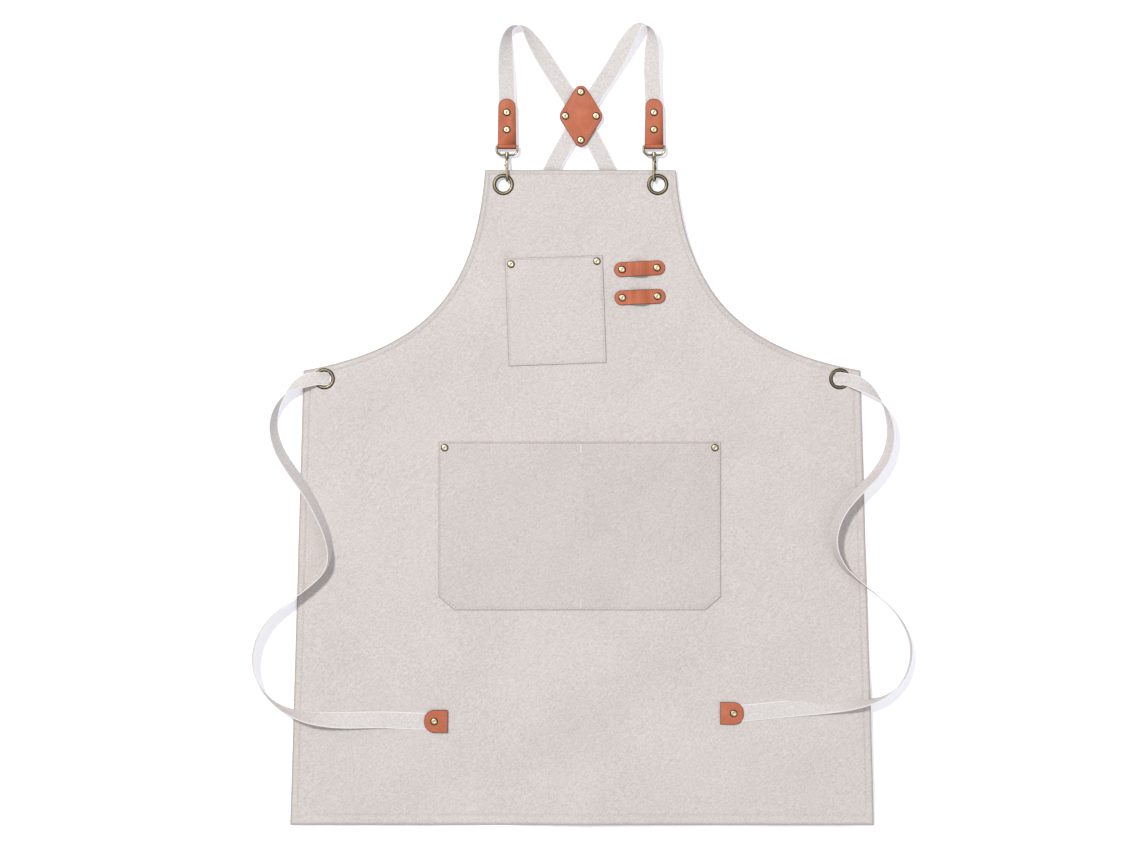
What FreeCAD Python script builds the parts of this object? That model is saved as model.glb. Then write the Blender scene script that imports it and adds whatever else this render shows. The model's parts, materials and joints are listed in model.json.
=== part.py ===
"""Cross-back canvas work apron, laid flat and face up, as an assembly of separate pieces.

Frame, in millimetres: +Z up, +Y from the hem towards the shoulder straps, +X to the right of the apron
as it is looked at. The floor is z = 0, and the origin is the bottom centre of the laid-out apron.
Heights along the apron are given from the hem, and place() moves each piece into the frame.
"""
import FreeCAD, Part
import math
import os

V = FreeCAD.Vector
UP = V(0, 0, 1)

# ---- apron panel ----
hem_width = 700.0
waist_width = 668.0
waist_height = 545.0
bib_width = 229.0
bib_centre = -1.8
panel_length = 785.0
canvas = 0.9
hem_fold = 1.8
hem_band = 12.0
bib_facing = 34.0
hem_corner_radius = 3.0
armhole_drop = 145.0
armhole_reach = 148.0
armhole_slope = 0.18
armhole_flare = 0.07
upper_ease = 0.2
lower_ease = 0.6
bib_lift = 3.8
lift_start = panel_length - 90.0
lift_end = panel_length - 40.0

# ---- pockets ----
pocket_canvas = 0.9
pocket_gap = 0.5
pocket_seam = 5.0
chest_pocket_width = 117.0
chest_pocket_height = 129.0
chest_pocket_centre = (-31.5, 616.6)
chest_pocket_tilt = 2.0
hand_pocket_width = 338.0
hand_pocket_height = 201.5
hand_pocket_centre = (-2.6, 358.6)
hand_pocket_chamfer = (18.5, 15.6)
pocket_rivet_inset = 7.0

# ---- leather tool loops ----
loop_length = 61.0
loop_width = 17.6
loop_leather = 1.8
loop_rise = 5.4
loop_rivet_span = 42.0
loop_places = {"upper": (69.0, 667.0, 3.0), "lower": (69.5, 633.0, 2.4)}

# ---- rivets ----
rivet_cap_diameter = 9.0
rivet_cap_height = 1.4
dome_share = 0.6
rivet_base_height = 1.1
rivet_post_diameter = 3.0
rivet_hole_clearance = 0.1

# ---- eyelets ----
eyelet_outer = 25.7
eyelet_bore = 17.0
eyelet_wall = 0.5
eyelet_crown = 0.9
washer_thickness = 0.5
eyelet_clearance = 0.1
bib_eyelet_inset = 22.0
bib_eyelet_edge = 17.4
waist_eyelet_inset = 25.0
waist_eyelet_drop = 10.0
bib_eyelet_spread = bib_width - 2 * bib_eyelet_inset
waist_eyelet_spread = waist_width - 2 * waist_eyelet_inset
waist_eyelet_height = waist_height - waist_eyelet_drop

# ---- webbing ----
web_width = 20.0
web = 1.2
web_in_bore = 12.0
slip = 0.03
floor_gap = 0.05

# ---- strap hardware ----
strap_gap = 28.0
strap_axis_height = panel_length + strap_gap
strap_axis_z = 7.0
bail_width = 27.0
bail_wire = 2.4
bail_depth = 10.0
bail_bend = 5.5
eye_outer = 5.4
eye_length = 3.0
neck_diameter = 2.4
neck_clearance = 0.06
neck_head = 4.4
neck_head_length = 1.4
collar_diameter = 5.0
collar_length = 2.6
collar_gap = 0.3
hook_wire = 2.6
hook_spine_z = 11.0
hook_reach = 30.4
hook_nose = 14.8
hook_shoulder = 4.0
hook_shoulder_bend = 3.0
hook_roll = {"left": 4.0, "right": -14.0}
strap_lean = {"left": 4.4, "right": -4.5}
strap_x = {
    "left": bib_centre - bib_eyelet_spread / 2 + strap_lean["left"],
    "right": bib_centre + bib_eyelet_spread / 2 + strap_lean["right"],
}

# ---- hook gate ----
gate_pivot_drop = 3.6
gate_pivot_back = 5.2
gate_length = 8.9
gate_height = 1.7
gate_end_slope = 0.6
gate_shoulder_drop = 0.3
gate_pin_diameter = 1.0
gate_pin_clearance = 0.05
gate_tongue = 0.8
gate_cheek = 0.6
gate_cheek_inner = 0.95
gate_cheek_radius = 1.4
gate_cheek_root = (-0.3, 0.1)
gate_pin_end = 0.2
gate_side_gap = 0.06
gate_clear = 0.25
gate_tail_radius = 1.1
gate_spring_outer = 2.0
gate_thumb = 1.8

# ---- leather shoulder tabs ----
tab_width = 22.0
tab_top_width = 20.4
tab_length = 57.0
tab_leather = 1.8
tab_bar_clearance = 0.06
tab_rivet_first = 16.4
tab_rivet_pitch = 20.6

# ---- diamond patch over the crossing ----
patch_rise = 36.6
patch_centre = (-1.3, strap_axis_height + patch_rise)
patch_half_width = 27.1
patch_half_height = 43.6
patch_side_radius = 10.0
patch_end_radius = 8.0
patch_leather = 1.8
patch_rivet_height = 57.6
patch_rivet_width = 37.0
patch_back_z = rivet_base_height
patch_front_z = patch_back_z + patch_leather + 2 * web + 3 * slip

# ---- leather tips of the ties ----
tip_length = 28.0
tip_width = 27.0
tip_leather = 1.6
tip_rivet_inset = 16.0
tip_cover = 4.0
tip_round = 0.9

# ---- the routes move with the places that they were drawn between ----
drawn_waist_eyelet = (309.0, 535.0)
drawn_hem_corner = (350.0, 0.0)
drawn_strap_axis = 813.0
drawn_strap_x = {"left": -89.9, "right": 86.2}


def following(route, first_shift, last_shift):
    """A route whose stations move by a shift that changes evenly from its first one to its last."""
    moved = []
    for i, (x, y, z, roll, width) in enumerate(route):
        share = i / (len(route) - 1)
        dx, dy = (a + share * (b - a) for a, b in zip(first_shift, last_shift))
        moved.append((x + dx, y + dy, z, roll, width))
    return moved


def eyelet_shift(sign):
    """How far a waist eyelet stands from where the routes were drawn to it."""
    dx = waist_eyelet_spread / 2 - drawn_waist_eyelet[0]
    return sign * dx, waist_eyelet_height - drawn_waist_eyelet[1]


def hem_shift(sign):
    """How far a hem corner stands from where the ties were drawn beside it."""
    return sign * (hem_width / 2 - drawn_hem_corner[0]), drawn_hem_corner[1]


def strap_shift(side):
    """How far a strap's tab stands from where the routes were drawn from it."""
    return strap_x[side] - drawn_strap_x[side], crossing_shift[1]


crossing_shift = (0.0, strap_axis_height - drawn_strap_axis)

# ---- routes: x, height from hem, z, roll about the run in degrees, width ----
bore = web_in_bore
wide = web_width
left_tie_route = following([
    (-302.5, 535.0, 0.65, 0, bore),
    (-309.5, 535.2, 2.6, 0, bore),
    (-318.0, 535.0, 5.1, 4, bore),
    (-332.0, 532.8, 8.3, 28, 18.5),
    (-351.0, 522.6, 10.4, 78, wide),
    (-365.0, 503.6, 10.5, 100, wide),
    (-370.8, 479.0, 10.2, 113, wide),
    (-364.5, 452.0, 10.2, 119, wide),
    (-349.0, 427.0, 11.8, 123, wide),
    (-325.0, 394.0, 12.8, 118, wide),
    (-307.0, 357.0, 12.8, 113, wide),
    (-300.5, 331.0, 13.2, 103, wide),
    (-304.0, 307.5, 13.4, 90, wide),
    (-322.0, 288.5, 13.4, 90, wide),
    (-352.0, 267.0, 13.4, 90, wide),
    (-379.0, 244.0, 10.6, 82, wide),
    (-394.5, 211.5, 10.4, 78, wide),
    (-392.5, 176.0, 10.4, 80, wide),
    (-372.5, 147.5, 10.6, 90, wide),
    (-338.0, 130.5, 13.4, 118, wide),
    (-294.0, 125.5, 8.2, 158, wide),
    (-244.0, 127.0, 6.3, 176, wide),
    (-190.0, 124.5, 6.1, 180, wide),
    (-165.0, 124.7, 6.1, 180, wide),
], eyelet_shift(-1), hem_shift(-1))
right_tie_route = following([
    (302.5, 535.0, 0.65, 0, bore),
    (309.5, 535.2, 2.6, 0, bore),
    (318.0, 534.0, 5.1, -4, bore),
    (333.0, 529.0, 8.0, -22, 18.5),
    (350.5, 517.0, 9.8, -66, wide),
    (364.0, 500.0, 10.5, -97, wide),
    (370.3, 474.0, 10.3, -111, wide),
    (367.0, 446.0, 10.2, -116, wide),
    (351.0, 419.5, 12.0, -118, wide),
    (327.0, 396.5, 12.9, -114, wide),
    (307.0, 370.5, 12.9, -111, wide),
    (299.0, 339.0, 12.9, -109, wide),
    (309.5, 311.0, 13.2, -104, wide),
    (333.0, 291.5, 13.4, -92, wide),
    (361.0, 270.5, 13.2, -88, wide),
    (384.5, 243.5, 10.6, -80, wide),
    (395.5, 213.0, 10.4, -75, wide),
    (389.5, 181.0, 10.4, -76, wide),
    (369.0, 156.0, 10.6, -84, wide),
    (336.5, 146.5, 13.8, -112, wide),
    (292.0, 143.5, 8.2, -158, wide),
    (242.0, 139.5, 6.3, -176, wide),
    (194.0, 134.0, 6.1, -180, wide),
    (169.5, 134.3, 6.1, -180, wide),
], eyelet_shift(1), hem_shift(1))
patch_low_web = patch_back_z + patch_leather + web / 2 + slip
patch_high_web = patch_low_web + web + slip
left_shoulder_route = following([
    (-89.9, 820.0, strap_axis_z, 0, wide),
    (-89.9, 873.0, strap_axis_z, 0, wide),
    (-91.2, 905.0, 7.6, 14, wide),
    (-91.6, 934.0, 9.2, 36, wide),
    (-87.0, 956.0, 10.6, 82, wide),
    (-71.0, 958.5, 10.6, 106, wide),
    (-58.0, 938.5, 9.0, 146, wide),
    (-41.0, 911.5, 5.2, 176, wide),
    (-19.0, 878.0, patch_low_web + slip, 180, wide),
    (-1.3, 849.6, patch_low_web, 180, wide),
    (16.8, 814.5, patch_low_web, 180, wide),
    (30.5, 787.5, 2.4, 180, wide),
], strap_shift("left"), crossing_shift)
right_shoulder_route = following([
    (86.2, 820.0, strap_axis_z, 0, wide),
    (85.2, 873.0, strap_axis_z, 0, wide),
    (83.2, 905.0, 7.4, -8, wide),
    (84.2, 933.0, 8.8, -30, wide),
    (82.4, 955.5, 10.6, -82, wide),
    (68.0, 960.5, 10.6, -118, wide),
    (54.0, 939.5, 9.0, -152, wide),
    (40.5, 913.0, 5.4, -178, wide),
    (17.5, 878.0, patch_high_web, -180, wide),
    (-1.3, 849.6, patch_high_web, -180, wide),
    (-20.8, 814.5, patch_high_web, -180, wide),
    (-36.0, 787.5, 2.4, -180, wide),
], strap_shift("right"), crossing_shift)
back_rest = web / 2 + floor_gap
right_back_route = left_shoulder_route[-2:] + following([
    (46.0, 752.0, back_rest, 180, wide),
    (61.0, 702.0, back_rest, 180, wide),
    (68.0, 652.0, back_rest, 180, wide),
    (82.0, 606.0, back_rest, 180, wide),
    (122.0, 568.0, back_rest, 180, wide),
    (176.0, 545.0, back_rest, 180, wide),
    (240.0, 531.0, back_rest, 180, wide),
    (301.5, 532.0, back_rest, 180, web_in_bore),
], crossing_shift, eyelet_shift(1))
left_back_route = right_shoulder_route[-2:] + following([
    (-50.0, 752.0, back_rest, -180, wide),
    (-59.0, 702.0, back_rest, -180, wide),
    (-72.0, 650.0, back_rest, -180, wide),
    (-98.0, 604.0, back_rest, -180, wide),
    (-136.0, 569.0, back_rest, -180, wide),
    (-184.0, 546.0, back_rest, -180, wide),
    (-240.0, 531.0, back_rest, -180, wide),
    (-301.5, 532.0, back_rest, -180, web_in_bore),
], crossing_shift, eyelet_shift(-1))
run_share = 0.45
round_end = 0.98
arc_steps = 3
split_gap = 1.5

# ---- heights that follow ----
strap_reach = 149.0
overall_length = strap_axis_height + strap_reach
face_top = hem_fold + canvas
bib_bottom = bib_lift
bib_top = bib_lift + face_top
pocket_top = face_top + pocket_gap + pocket_canvas
deep = 60.0
ample = 1000.0
spare = 20.0
sides = {"left": -1, "right": 1}


# ---- small builders ----
def place(shape):
    """Move a piece from heights measured at the hem into the part's frame."""
    return shape.translated(V(0, -overall_length / 2, 0))


def prism(edges, z_low, z_high):
    """Closed outline of edges at z = 0, as a solid between two heights."""
    face = Part.Face(Part.Wire(edges))
    solid = face.extrude(V(0, 0, z_high - z_low))
    return solid.translated(V(0, 0, z_low))


def polygon(points):
    """Edges of a closed polygon through (x, y) points."""
    corners = [V(x, y, 0) for x, y in points]
    return [Part.makeLine(a, b) for a, b in zip(corners, corners[1:] + corners[:1])]


def disc(x, y, radius, z_low, z_high):
    """Upright cylinder between two heights."""
    return Part.makeCylinder(radius, z_high - z_low, V(x, y, z_low))


def turned(shape, x, y, degrees):
    """A shape made about the origin, turned about Z and moved to its place."""
    result = shape.copy()
    result.rotate(V(0, 0, 0), UP, degrees)
    return result.translated(V(x, y, 0))


def turned_point(x, y, centre_x, centre_y, degrees):
    """Where a point of a turned shape ends up."""
    angle = math.radians(degrees)
    return (
        centre_x + x * math.cos(angle) - y * math.sin(angle),
        centre_y + x * math.sin(angle) + y * math.cos(angle),
    )


def upright_edges(solid, chosen=lambda point: True):
    """Vertical edges of a prism whose place passes the test."""
    found = []
    for edge in solid.Edges:
        low, high = edge.Vertexes[0].Point, edge.Vertexes[-1].Point
        if abs(low.x - high.x) < 1e-6 and abs(low.y - high.y) < 1e-6 and chosen(low):
            found.append(edge)
    return found


def bend_of(before, corner, after):
    """Tangent length, radius and turn of the arc that rounds one corner of a route."""
    arriving = (corner - before).normalize()
    leaving = (after - corner).normalize()
    turn = arriving.getAngle(leaving)
    tangent = run_share * min((corner - before).Length, (after - corner).Length)
    return arriving, leaving, turn, tangent, tangent / math.tan(turn / 2)


def rounded_route(route, name):
    """Stations along straight runs joined by tangent arcs: (centre, roll, width)."""
    points = [V(*station[:3]) for station in route]
    stations = [(points[0], route[0][3], route[0][4])]
    radii = []
    for i in range(1, len(points) - 1):
        arriving, leaving, turn, tangent, radius = bend_of(*points[i - 1:i + 2])
        radii.append(radius)
        inward = (leaving - arriving).normalize()
        centre = points[i] + inward * (radius / math.cos(turn / 2))
        start = points[i] - arriving * tangent - centre
        for step in range(arc_steps + 1):
            share = step / arc_steps
            spoke = start * (math.sin((1 - share) * turn) / math.sin(turn))
            spoke += (points[i] + leaving * tangent - centre) * (math.sin(share * turn) / math.sin(turn))
            along = run_share * (2 * share - 1)
            other = route[i + 1] if along > 0 else route[i - 1]
            roll = route[i][3] + abs(along) * (other[3] - route[i][3])
            width = route[i][4] + abs(along) * (other[4] - route[i][4])
            stations.append((centre + spoke, roll, width))
    stations.append((points[-1], route[-1][3], route[-1][4]))
    length = sum((b[0] - a[0]).Length for a, b in zip(stations, stations[1:]))
    print(f"{name}: length {length:.0f} mm, smallest radius {min(radii):.0f} mm")
    return stations


def ribbon(route, name):
    """Flat webbing along a route, as a closed solid of flat facets that turns with the roll."""
    stations = rounded_route(route, name)
    rings = []
    for i, (centre, roll, width) in enumerate(stations):
        ahead = stations[min(i + 1, len(stations) - 1)][0]
        behind = stations[max(i - 1, 0)][0]
        tangent = (ahead - behind).normalize()
        level = UP.cross(tangent).normalize()
        angle = math.radians(roll)
        across = level * math.cos(angle) + tangent.cross(level) * math.sin(angle)
        through = tangent.cross(across)
        half = across * (width / 2)
        skin = through * (web / 2)
        rings.append([centre - half - skin, centre + half - skin, centre + half + skin, centre - half + skin])
    faces = [rings[0][::-1], rings[-1]]
    for a, b in zip(rings, rings[1:]):
        faces += [[a[0], a[1], b[1]], [a[0], b[1], b[0]], [a[1], a[2], b[2]], [a[1], b[2], b[1]]]
        faces += [[a[2], a[3], b[2]], [a[3], b[3], b[2]], [a[3], a[0], b[0]], [a[3], b[0], b[3]]]
    shell = Part.Shell([Part.Face(Part.makePolygon(face + face[:1])) for face in faces])
    solid = Part.Solid(shell)
    if solid.Volume < 0:
        solid.reverse()
    return solid


def rod(points, radius, bends):
    """Round wire through the points, with a tangent arc of its own radius at each corner."""
    corners = [V(*point) for point in points]
    edges = []
    last = corners[0]
    for before, corner, after, bend in zip(corners, corners[1:], corners[2:], bends):
        arriving = (corner - before).normalize()
        leaving = (after - corner).normalize()
        turn = arriving.getAngle(leaving)
        tangent = bend * math.tan(turn / 2)
        start = corner - arriving * tangent
        end = corner + leaving * tangent
        inward = (leaving - arriving).normalize()
        middle = corner + inward * (bend / math.cos(turn / 2) - bend)
        if (start - last).Length > 1e-6:
            edges.append(Part.makeLine(last, start))
        edges.append(Part.Arc(start, middle, end).toShape())
        last = end
    if (corners[-1] - last).Length > 1e-6:
        edges.append(Part.makeLine(last, corners[-1]))
    path = Part.Wire(edges)
    section = Part.Wire(Part.makeCircle(radius, corners[0], corners[1] - corners[0]))
    return path.makePipeShell([section], True, False)


def ring(x, y, inner, outer, z_low, z_high):
    """Flat washer between two heights."""
    return disc(x, y, outer, z_low, z_high).cut(disc(x, y, inner, z_low, z_high))


# ---- rivets ----
def rivet_cap(x, y, z):
    """Low domed cap that sits on top of the layers."""
    radius = rivet_cap_diameter / 2
    dome = disc(x, y, radius, z, z + rivet_cap_height)
    rim = [edge for edge in dome.Edges if abs(edge.BoundBox.ZMin - z - rivet_cap_height) < 1e-6]
    return dome.makeFillet(rivet_cap_height * dome_share, rim)


def rivet_post(x, y, z_low, z_high):
    """Base below the layers and the post through them, up to the cap."""
    base = disc(x, y, rivet_cap_diameter / 2, z_low - rivet_base_height, z_low)
    return base.fuse(disc(x, y, rivet_post_diameter / 2, z_low, z_high))


def rivet_hole(x, y):
    """Tool that clears a rivet's post from a layer."""
    return disc(x, y, rivet_post_diameter / 2 + rivet_hole_clearance, -deep, deep)


def pierced(shape, places):
    """A layer with a hole for each rivet."""
    for x, y in places:
        shape = shape.cut(rivet_hole(x, y))
    return shape


# ---- the pieces ----
def panel_outline(inset, top_inset):
    """Outline of the apron, moved inwards all round: hem, sides, armholes and bib top."""
    hem = hem_width / 2 - inset
    waist = waist_width / 2 - inset
    bib = bib_width / 2 - inset
    top = panel_length - top_inset
    side_top = waist_height - inset
    upper_pull = V(bib + armhole_drop * armhole_flare, top - armhole_drop + top_inset - inset * upper_ease, 0)
    lower_pull = V(waist - armhole_reach + inset * lower_ease, side_top + armhole_reach * armhole_slope, 0)
    aside = V(bib_centre, 0, 0)
    bib_corner = V(bib, top, 0)
    right = Part.BezierCurve()
    right.setPoles([V(waist, side_top, 0), lower_pull, upper_pull + aside, bib_corner + aside])
    left = Part.BezierCurve()
    mirrored = [V(-p.x, p.y, 0) for p in (bib_corner - aside, upper_pull - aside)]
    left.setPoles(mirrored + [V(-lower_pull.x, lower_pull.y, 0), V(-waist, side_top, 0)])
    return [
        Part.makeLine(V(-hem, inset, 0), V(hem, inset, 0)),
        Part.makeLine(V(hem, inset, 0), V(waist, side_top, 0)),
        right.toShape(),
        Part.makeLine(bib_corner + aside, V(bib_centre - bib, top, 0)),
        left.toShape(),
        Part.makeLine(V(-waist, side_top, 0), V(-hem, inset, 0)),
    ]


def lifted_layer(z_low, z_high):
    """Slab that rises towards the bib's top edge, where the hooks pass under it."""
    heights = [(-spare, 0), (lift_start, 0), (lift_end, bib_lift), (panel_length + spare, bib_lift)]
    lower = [V(0, y, z_low + rise) for y, rise in heights]
    upper = [V(0, y, z_high + rise) for y, rise in reversed(heights)]
    loop = lower + upper
    wire = Part.makePolygon(loop + loop[:1])
    return Part.Face(wire).extrude(V(hem_width + 2 * spare, 0, 0)).translated(V(-hem_width / 2 - spare, 0, 0))


def apron_panel():
    """Canvas panel with its folded hem and the deep facing along the bib's top edge."""
    outline = prism(panel_outline(0, 0), -1, deep)
    is_hem_corner = lambda point: abs(point.y) < 1e-6
    outline = outline.makeFillet(hem_corner_radius, upright_edges(outline, is_hem_corner))
    inside = prism(panel_outline(hem_band, bib_facing), -2, deep + 1)
    face = outline.common(lifted_layer(hem_fold, face_top))
    fold = outline.cut(inside).common(lifted_layer(0, hem_fold))
    panel = face.fuse(fold)
    for side, sign in sides.items():
        x, y = bib_eyelet_place(sign)
        panel = panel.cut(disc(x, y, eyelet_hole_radius(), -1, deep))
        x, y = waist_eyelet_place(sign)
        panel = panel.cut(disc(x, y, eyelet_hole_radius(), -1, deep))
        panel = panel.cut(disc(x, y, eyelet_outer / 2 + eyelet_clearance, -1, hem_fold))
    panel = pierced(panel, pocket_rivet_places() + loop_rivet_places())
    return panel.removeSplitter()


def pocket(outline, width, height):
    """Patch pocket: sewn on at its sides and bottom, and open along its top."""
    body = prism(outline, face_top, pocket_top)
    corner = V(pocket_seam - width / 2, pocket_seam - height / 2, face_top)
    room = Part.makeBox(width - 2 * pocket_seam, height, pocket_gap, corner)
    return body.cut(room)


def chest_pocket():
    """Small square pocket on the bib."""
    half_w, half_h = chest_pocket_width / 2, chest_pocket_height / 2
    outline = polygon([(-half_w, -half_h), (half_w, -half_h), (half_w, half_h), (-half_w, half_h)])
    shape = pocket(outline, chest_pocket_width, chest_pocket_height)
    return pierced(turned(shape, *chest_pocket_centre, chest_pocket_tilt), pocket_rivet_places())


def hand_pocket():
    """Wide pocket below the waist, with its lower corners cut off and a seam down its middle."""
    half_w, half_h = hand_pocket_width / 2, hand_pocket_height / 2
    cut_x, cut_y = hand_pocket_chamfer
    half_outline = [(half_w - cut_x, -half_h), (half_w, -half_h + cut_y), (half_w, half_h)]
    mirrored = [(-x, y) for x, y in reversed(half_outline)]
    shape = pocket(polygon(half_outline + mirrored), hand_pocket_width, hand_pocket_height)
    seam_x, seam_y = cut_x + pocket_seam - half_w, cut_y + pocket_seam - half_h
    triangle = [(-half_w, -half_h), (seam_x, -half_h), (-half_w, seam_y)]
    corner_seam = prism(polygon(triangle), face_top, face_top + pocket_gap)
    outline = prism(polygon(half_outline + mirrored), face_top, pocket_top)
    for seam in (corner_seam, corner_seam.mirror(V(0, 0, 0), V(1, 0, 0))):
        shape = shape.fuse(seam.common(outline))
    centre_seam = Part.makeBox(2, hand_pocket_height, pocket_gap, V(-1, -half_h, face_top))
    shape = shape.fuse(centre_seam).removeSplitter()
    return pierced(turned(shape, *hand_pocket_centre, 0), pocket_rivet_places())


def pocket_rivet_places():
    """The two upper corners of each pocket."""
    places = []
    for sign in (-1, 1):
        x = sign * (chest_pocket_width / 2 - pocket_rivet_inset)
        y = chest_pocket_height / 2 - pocket_rivet_inset
        places.append(turned_point(x, y, *chest_pocket_centre, chest_pocket_tilt))
        x = hand_pocket_centre[0] + sign * (hand_pocket_width / 2 - pocket_rivet_inset)
        places.append((x, hand_pocket_centre[1] + hand_pocket_height / 2 - pocket_rivet_inset))
    return places


def loop_rivet_places():
    """Two rivets on each tool loop."""
    return [
        turned_point(sign * loop_rivet_span / 2, 0, x, y, tilt)
        for x, y, tilt in loop_places.values()
        for sign in (-1, 1)
    ]


def tool_loop(x, y, tilt):
    """Leather strip, riveted down at both ends and arched between them."""
    foot = loop_rivet_span / 2 - rivet_cap_diameter / 2 - 1
    end = loop_length / 2

    def arch(z, left_to_right):
        first = Part.BezierCurve()
        crest = z + loop_rise
        first.setPoles([V(-foot, 0, z), V(-foot / 2, 0, z), V(-foot / 2, 0, crest), V(0, 0, crest)])
        second = Part.BezierCurve()
        second.setPoles([V(-p.x, 0, p.z) for p in reversed(first.getPoles())])
        edges = [first.toShape(), second.toShape()]
        return edges if left_to_right else edges[::-1]

    low, high = face_top, face_top + loop_leather
    def straight(x, z, next_x, next_z):
        return [Part.makeLine(V(x, 0, z), V(next_x, 0, next_z))]

    edges = straight(-end, low, -foot, low) + arch(low, True)
    edges += straight(foot, low, end, low) + straight(end, low, end, high)
    edges += straight(end, high, foot, high) + arch(high, False)
    edges += straight(-foot, high, -end, high) + straight(-end, high, -end, low)
    strip = Part.Face(Part.Wire(edges)).extrude(V(0, loop_width, 0)).translated(V(0, -loop_width / 2, 0))
    blank = Part.makeBox(loop_length, loop_width, deep, V(-end, -loop_width / 2, -1))
    blank = blank.makeFillet(loop_width / 2 * round_end, upright_edges(blank))
    return pierced(turned(strip.common(blank), x, y, tilt), loop_rivet_places())


def bib_eyelet_place(sign):
    """Centre of an eyelet at a top corner of the bib."""
    return bib_centre + sign * bib_eyelet_spread / 2, panel_length - bib_eyelet_edge


def waist_eyelet_place(sign):
    """Centre of an eyelet at a waist corner."""
    return sign * waist_eyelet_spread / 2, waist_eyelet_height


def eyelet_hole_radius():
    """Hole through the canvas, which takes the eyelet's barrel."""
    return eyelet_bore / 2 + eyelet_wall + eyelet_clearance


def eyelet(x, y, under, top):
    """Rolled flange on the face and a barrel down through the canvas and the washer."""
    bore_r, wall_r, outer_r = eyelet_bore / 2, eyelet_bore / 2 + eyelet_wall, eyelet_outer / 2
    low = under - washer_thickness
    crown = Part.Arc(V(outer_r, 0, top), V((bore_r + outer_r) / 2, 0, top + eyelet_crown), V(bore_r, 0, top))
    corners = [V(bore_r, 0, top), V(bore_r, 0, low), V(wall_r, 0, low), V(wall_r, 0, top), V(outer_r, 0, top)]
    edges = [Part.makeLine(a, b) for a, b in zip(corners, corners[1:])] + [crown.toShape()]
    solid = Part.Face(Part.Wire(edges)).revolve(V(0, 0, 0), UP, 360)
    return solid.translated(V(x, y, 0))


def eyelet_washer(x, y, under):
    """Washer on the back of the canvas, round the eyelet's barrel."""
    inner = eyelet_bore / 2 + eyelet_wall + eyelet_clearance / 2
    return ring(x, y, inner, eyelet_outer / 2, under - washer_thickness, under)


def shoulder_tab(side):
    """Leather folded round the bail's bar, with the webbing's end between its two layers."""
    x = strap_x[side]
    bar_r = bail_wire / 2 + tab_bar_clearance
    half = tab_width / 2
    top = strap_axis_height + tab_length
    top_half = tab_top_width / 2
    low = strap_axis_height
    corners = [(x - half, low), (x + half, low), (x + top_half, top), (x - top_half, top)]
    outline = prism(polygon(corners), -1, deep)
    ends = upright_edges(outline, lambda point: abs(point.y - top) < 1e-6)
    outline = outline.makeFillet(top_half * round_end, ends)
    thick = web + 2 * tab_leather
    corner = V(x - half, strap_axis_height, strap_axis_z - thick / 2)
    slab = Part.makeBox(tab_width, tab_length, thick, corner)
    slab = slab.common(outline)
    start = V(x - half, strap_axis_height, strap_axis_z)
    wrap = Part.makeCylinder(bar_r + tab_leather, tab_width, start, V(1, 0, 0))
    bar_hole = Part.makeCylinder(bar_r, tab_width, start, V(1, 0, 0))
    room = web + 2 * slip
    gap = Part.makeBox(tab_width, tab_length, room, V(x - half, strap_axis_height, strap_axis_z - room / 2))
    return pierced(slab.fuse(wrap).cut(bar_hole).cut(gap), tab_rivet_places(side)).removeSplitter()


def tab_rivet_places(side):
    """Two rivets in line up the tab."""
    top = strap_axis_height + tab_length - tab_rivet_first
    return [(strap_x[side], top), (strap_x[side], top - tab_rivet_pitch)]


def patch_layer(z_low):
    """One layer of the rounded diamond that covers the crossing."""
    x, y = patch_centre
    w, h = patch_half_width, patch_half_height
    blank = prism(polygon([(x, y - h), (x + w, y), (x, y + h), (x - w, y)]), z_low, z_low + patch_leather)
    ends = upright_edges(blank, lambda point: abs(point.x - x) < 1e-6)
    blank = blank.makeFillet(patch_end_radius, ends)
    corners = upright_edges(blank, lambda point: abs(point.y - y) < 1e-6)
    blank = blank.makeFillet(patch_side_radius, corners)
    return pierced(blank, patch_rivet_places())


def patch_rivet_places():
    """One rivet near each corner of the diamond."""
    x, y = patch_centre
    up, out = patch_rivet_height / 2, patch_rivet_width / 2
    return [(x, y + up), (x, y - up), (x - out, y), (x + out, y)]


def bail(side):
    """D-shaped ring: a straight bar for the tab, and an eye for the hook's neck."""
    x, radius = strap_x[side], bail_wire / 2
    half = bail_width / 2 - radius
    y, z = strap_axis_height, strap_axis_z
    low = y - bail_depth
    corners = [(x - half, y, z), (x - half, low, z), (x + half, low, z), (x + half, y, z)]
    bow = rod(corners, radius, [bail_bend] * 2)
    bar = Part.makeCylinder(radius, bail_width, V(x - bail_width / 2, y, z), V(1, 0, 0))
    eye_start = V(x, y - bail_depth - eye_length / 2, z)
    eye = Part.makeCylinder(eye_outer / 2, eye_length, eye_start, V(0, 1, 0))
    neck_room = neck_diameter / 2 + neck_clearance
    hole = Part.makeCylinder(neck_room, deep, eye_start - V(0, deep / 2, 0), V(0, 1, 0))
    return bow.fuse(bar).fuse(eye).cut(hole)


def eye_bottom():
    """Lower face of the bail's eye, which the hook's collar turns under."""
    return strap_axis_height - bail_depth - eye_length / 2


def gate_pivot():
    """Height from the hem and z of the gate's pin, before the hook is rolled."""
    return eye_bottom() - collar_gap - collar_length / 2 - gate_pivot_back, strap_axis_z - gate_pivot_drop


def seated(shape, side):
    """A hook piece made about x = 0, rolled about its neck and moved to its bail."""
    shape.rotate(V(0, 0, strap_axis_z), V(0, 1, 0), hook_roll[side])
    return shape.translated(V(strap_x[side], 0, 0))


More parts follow.
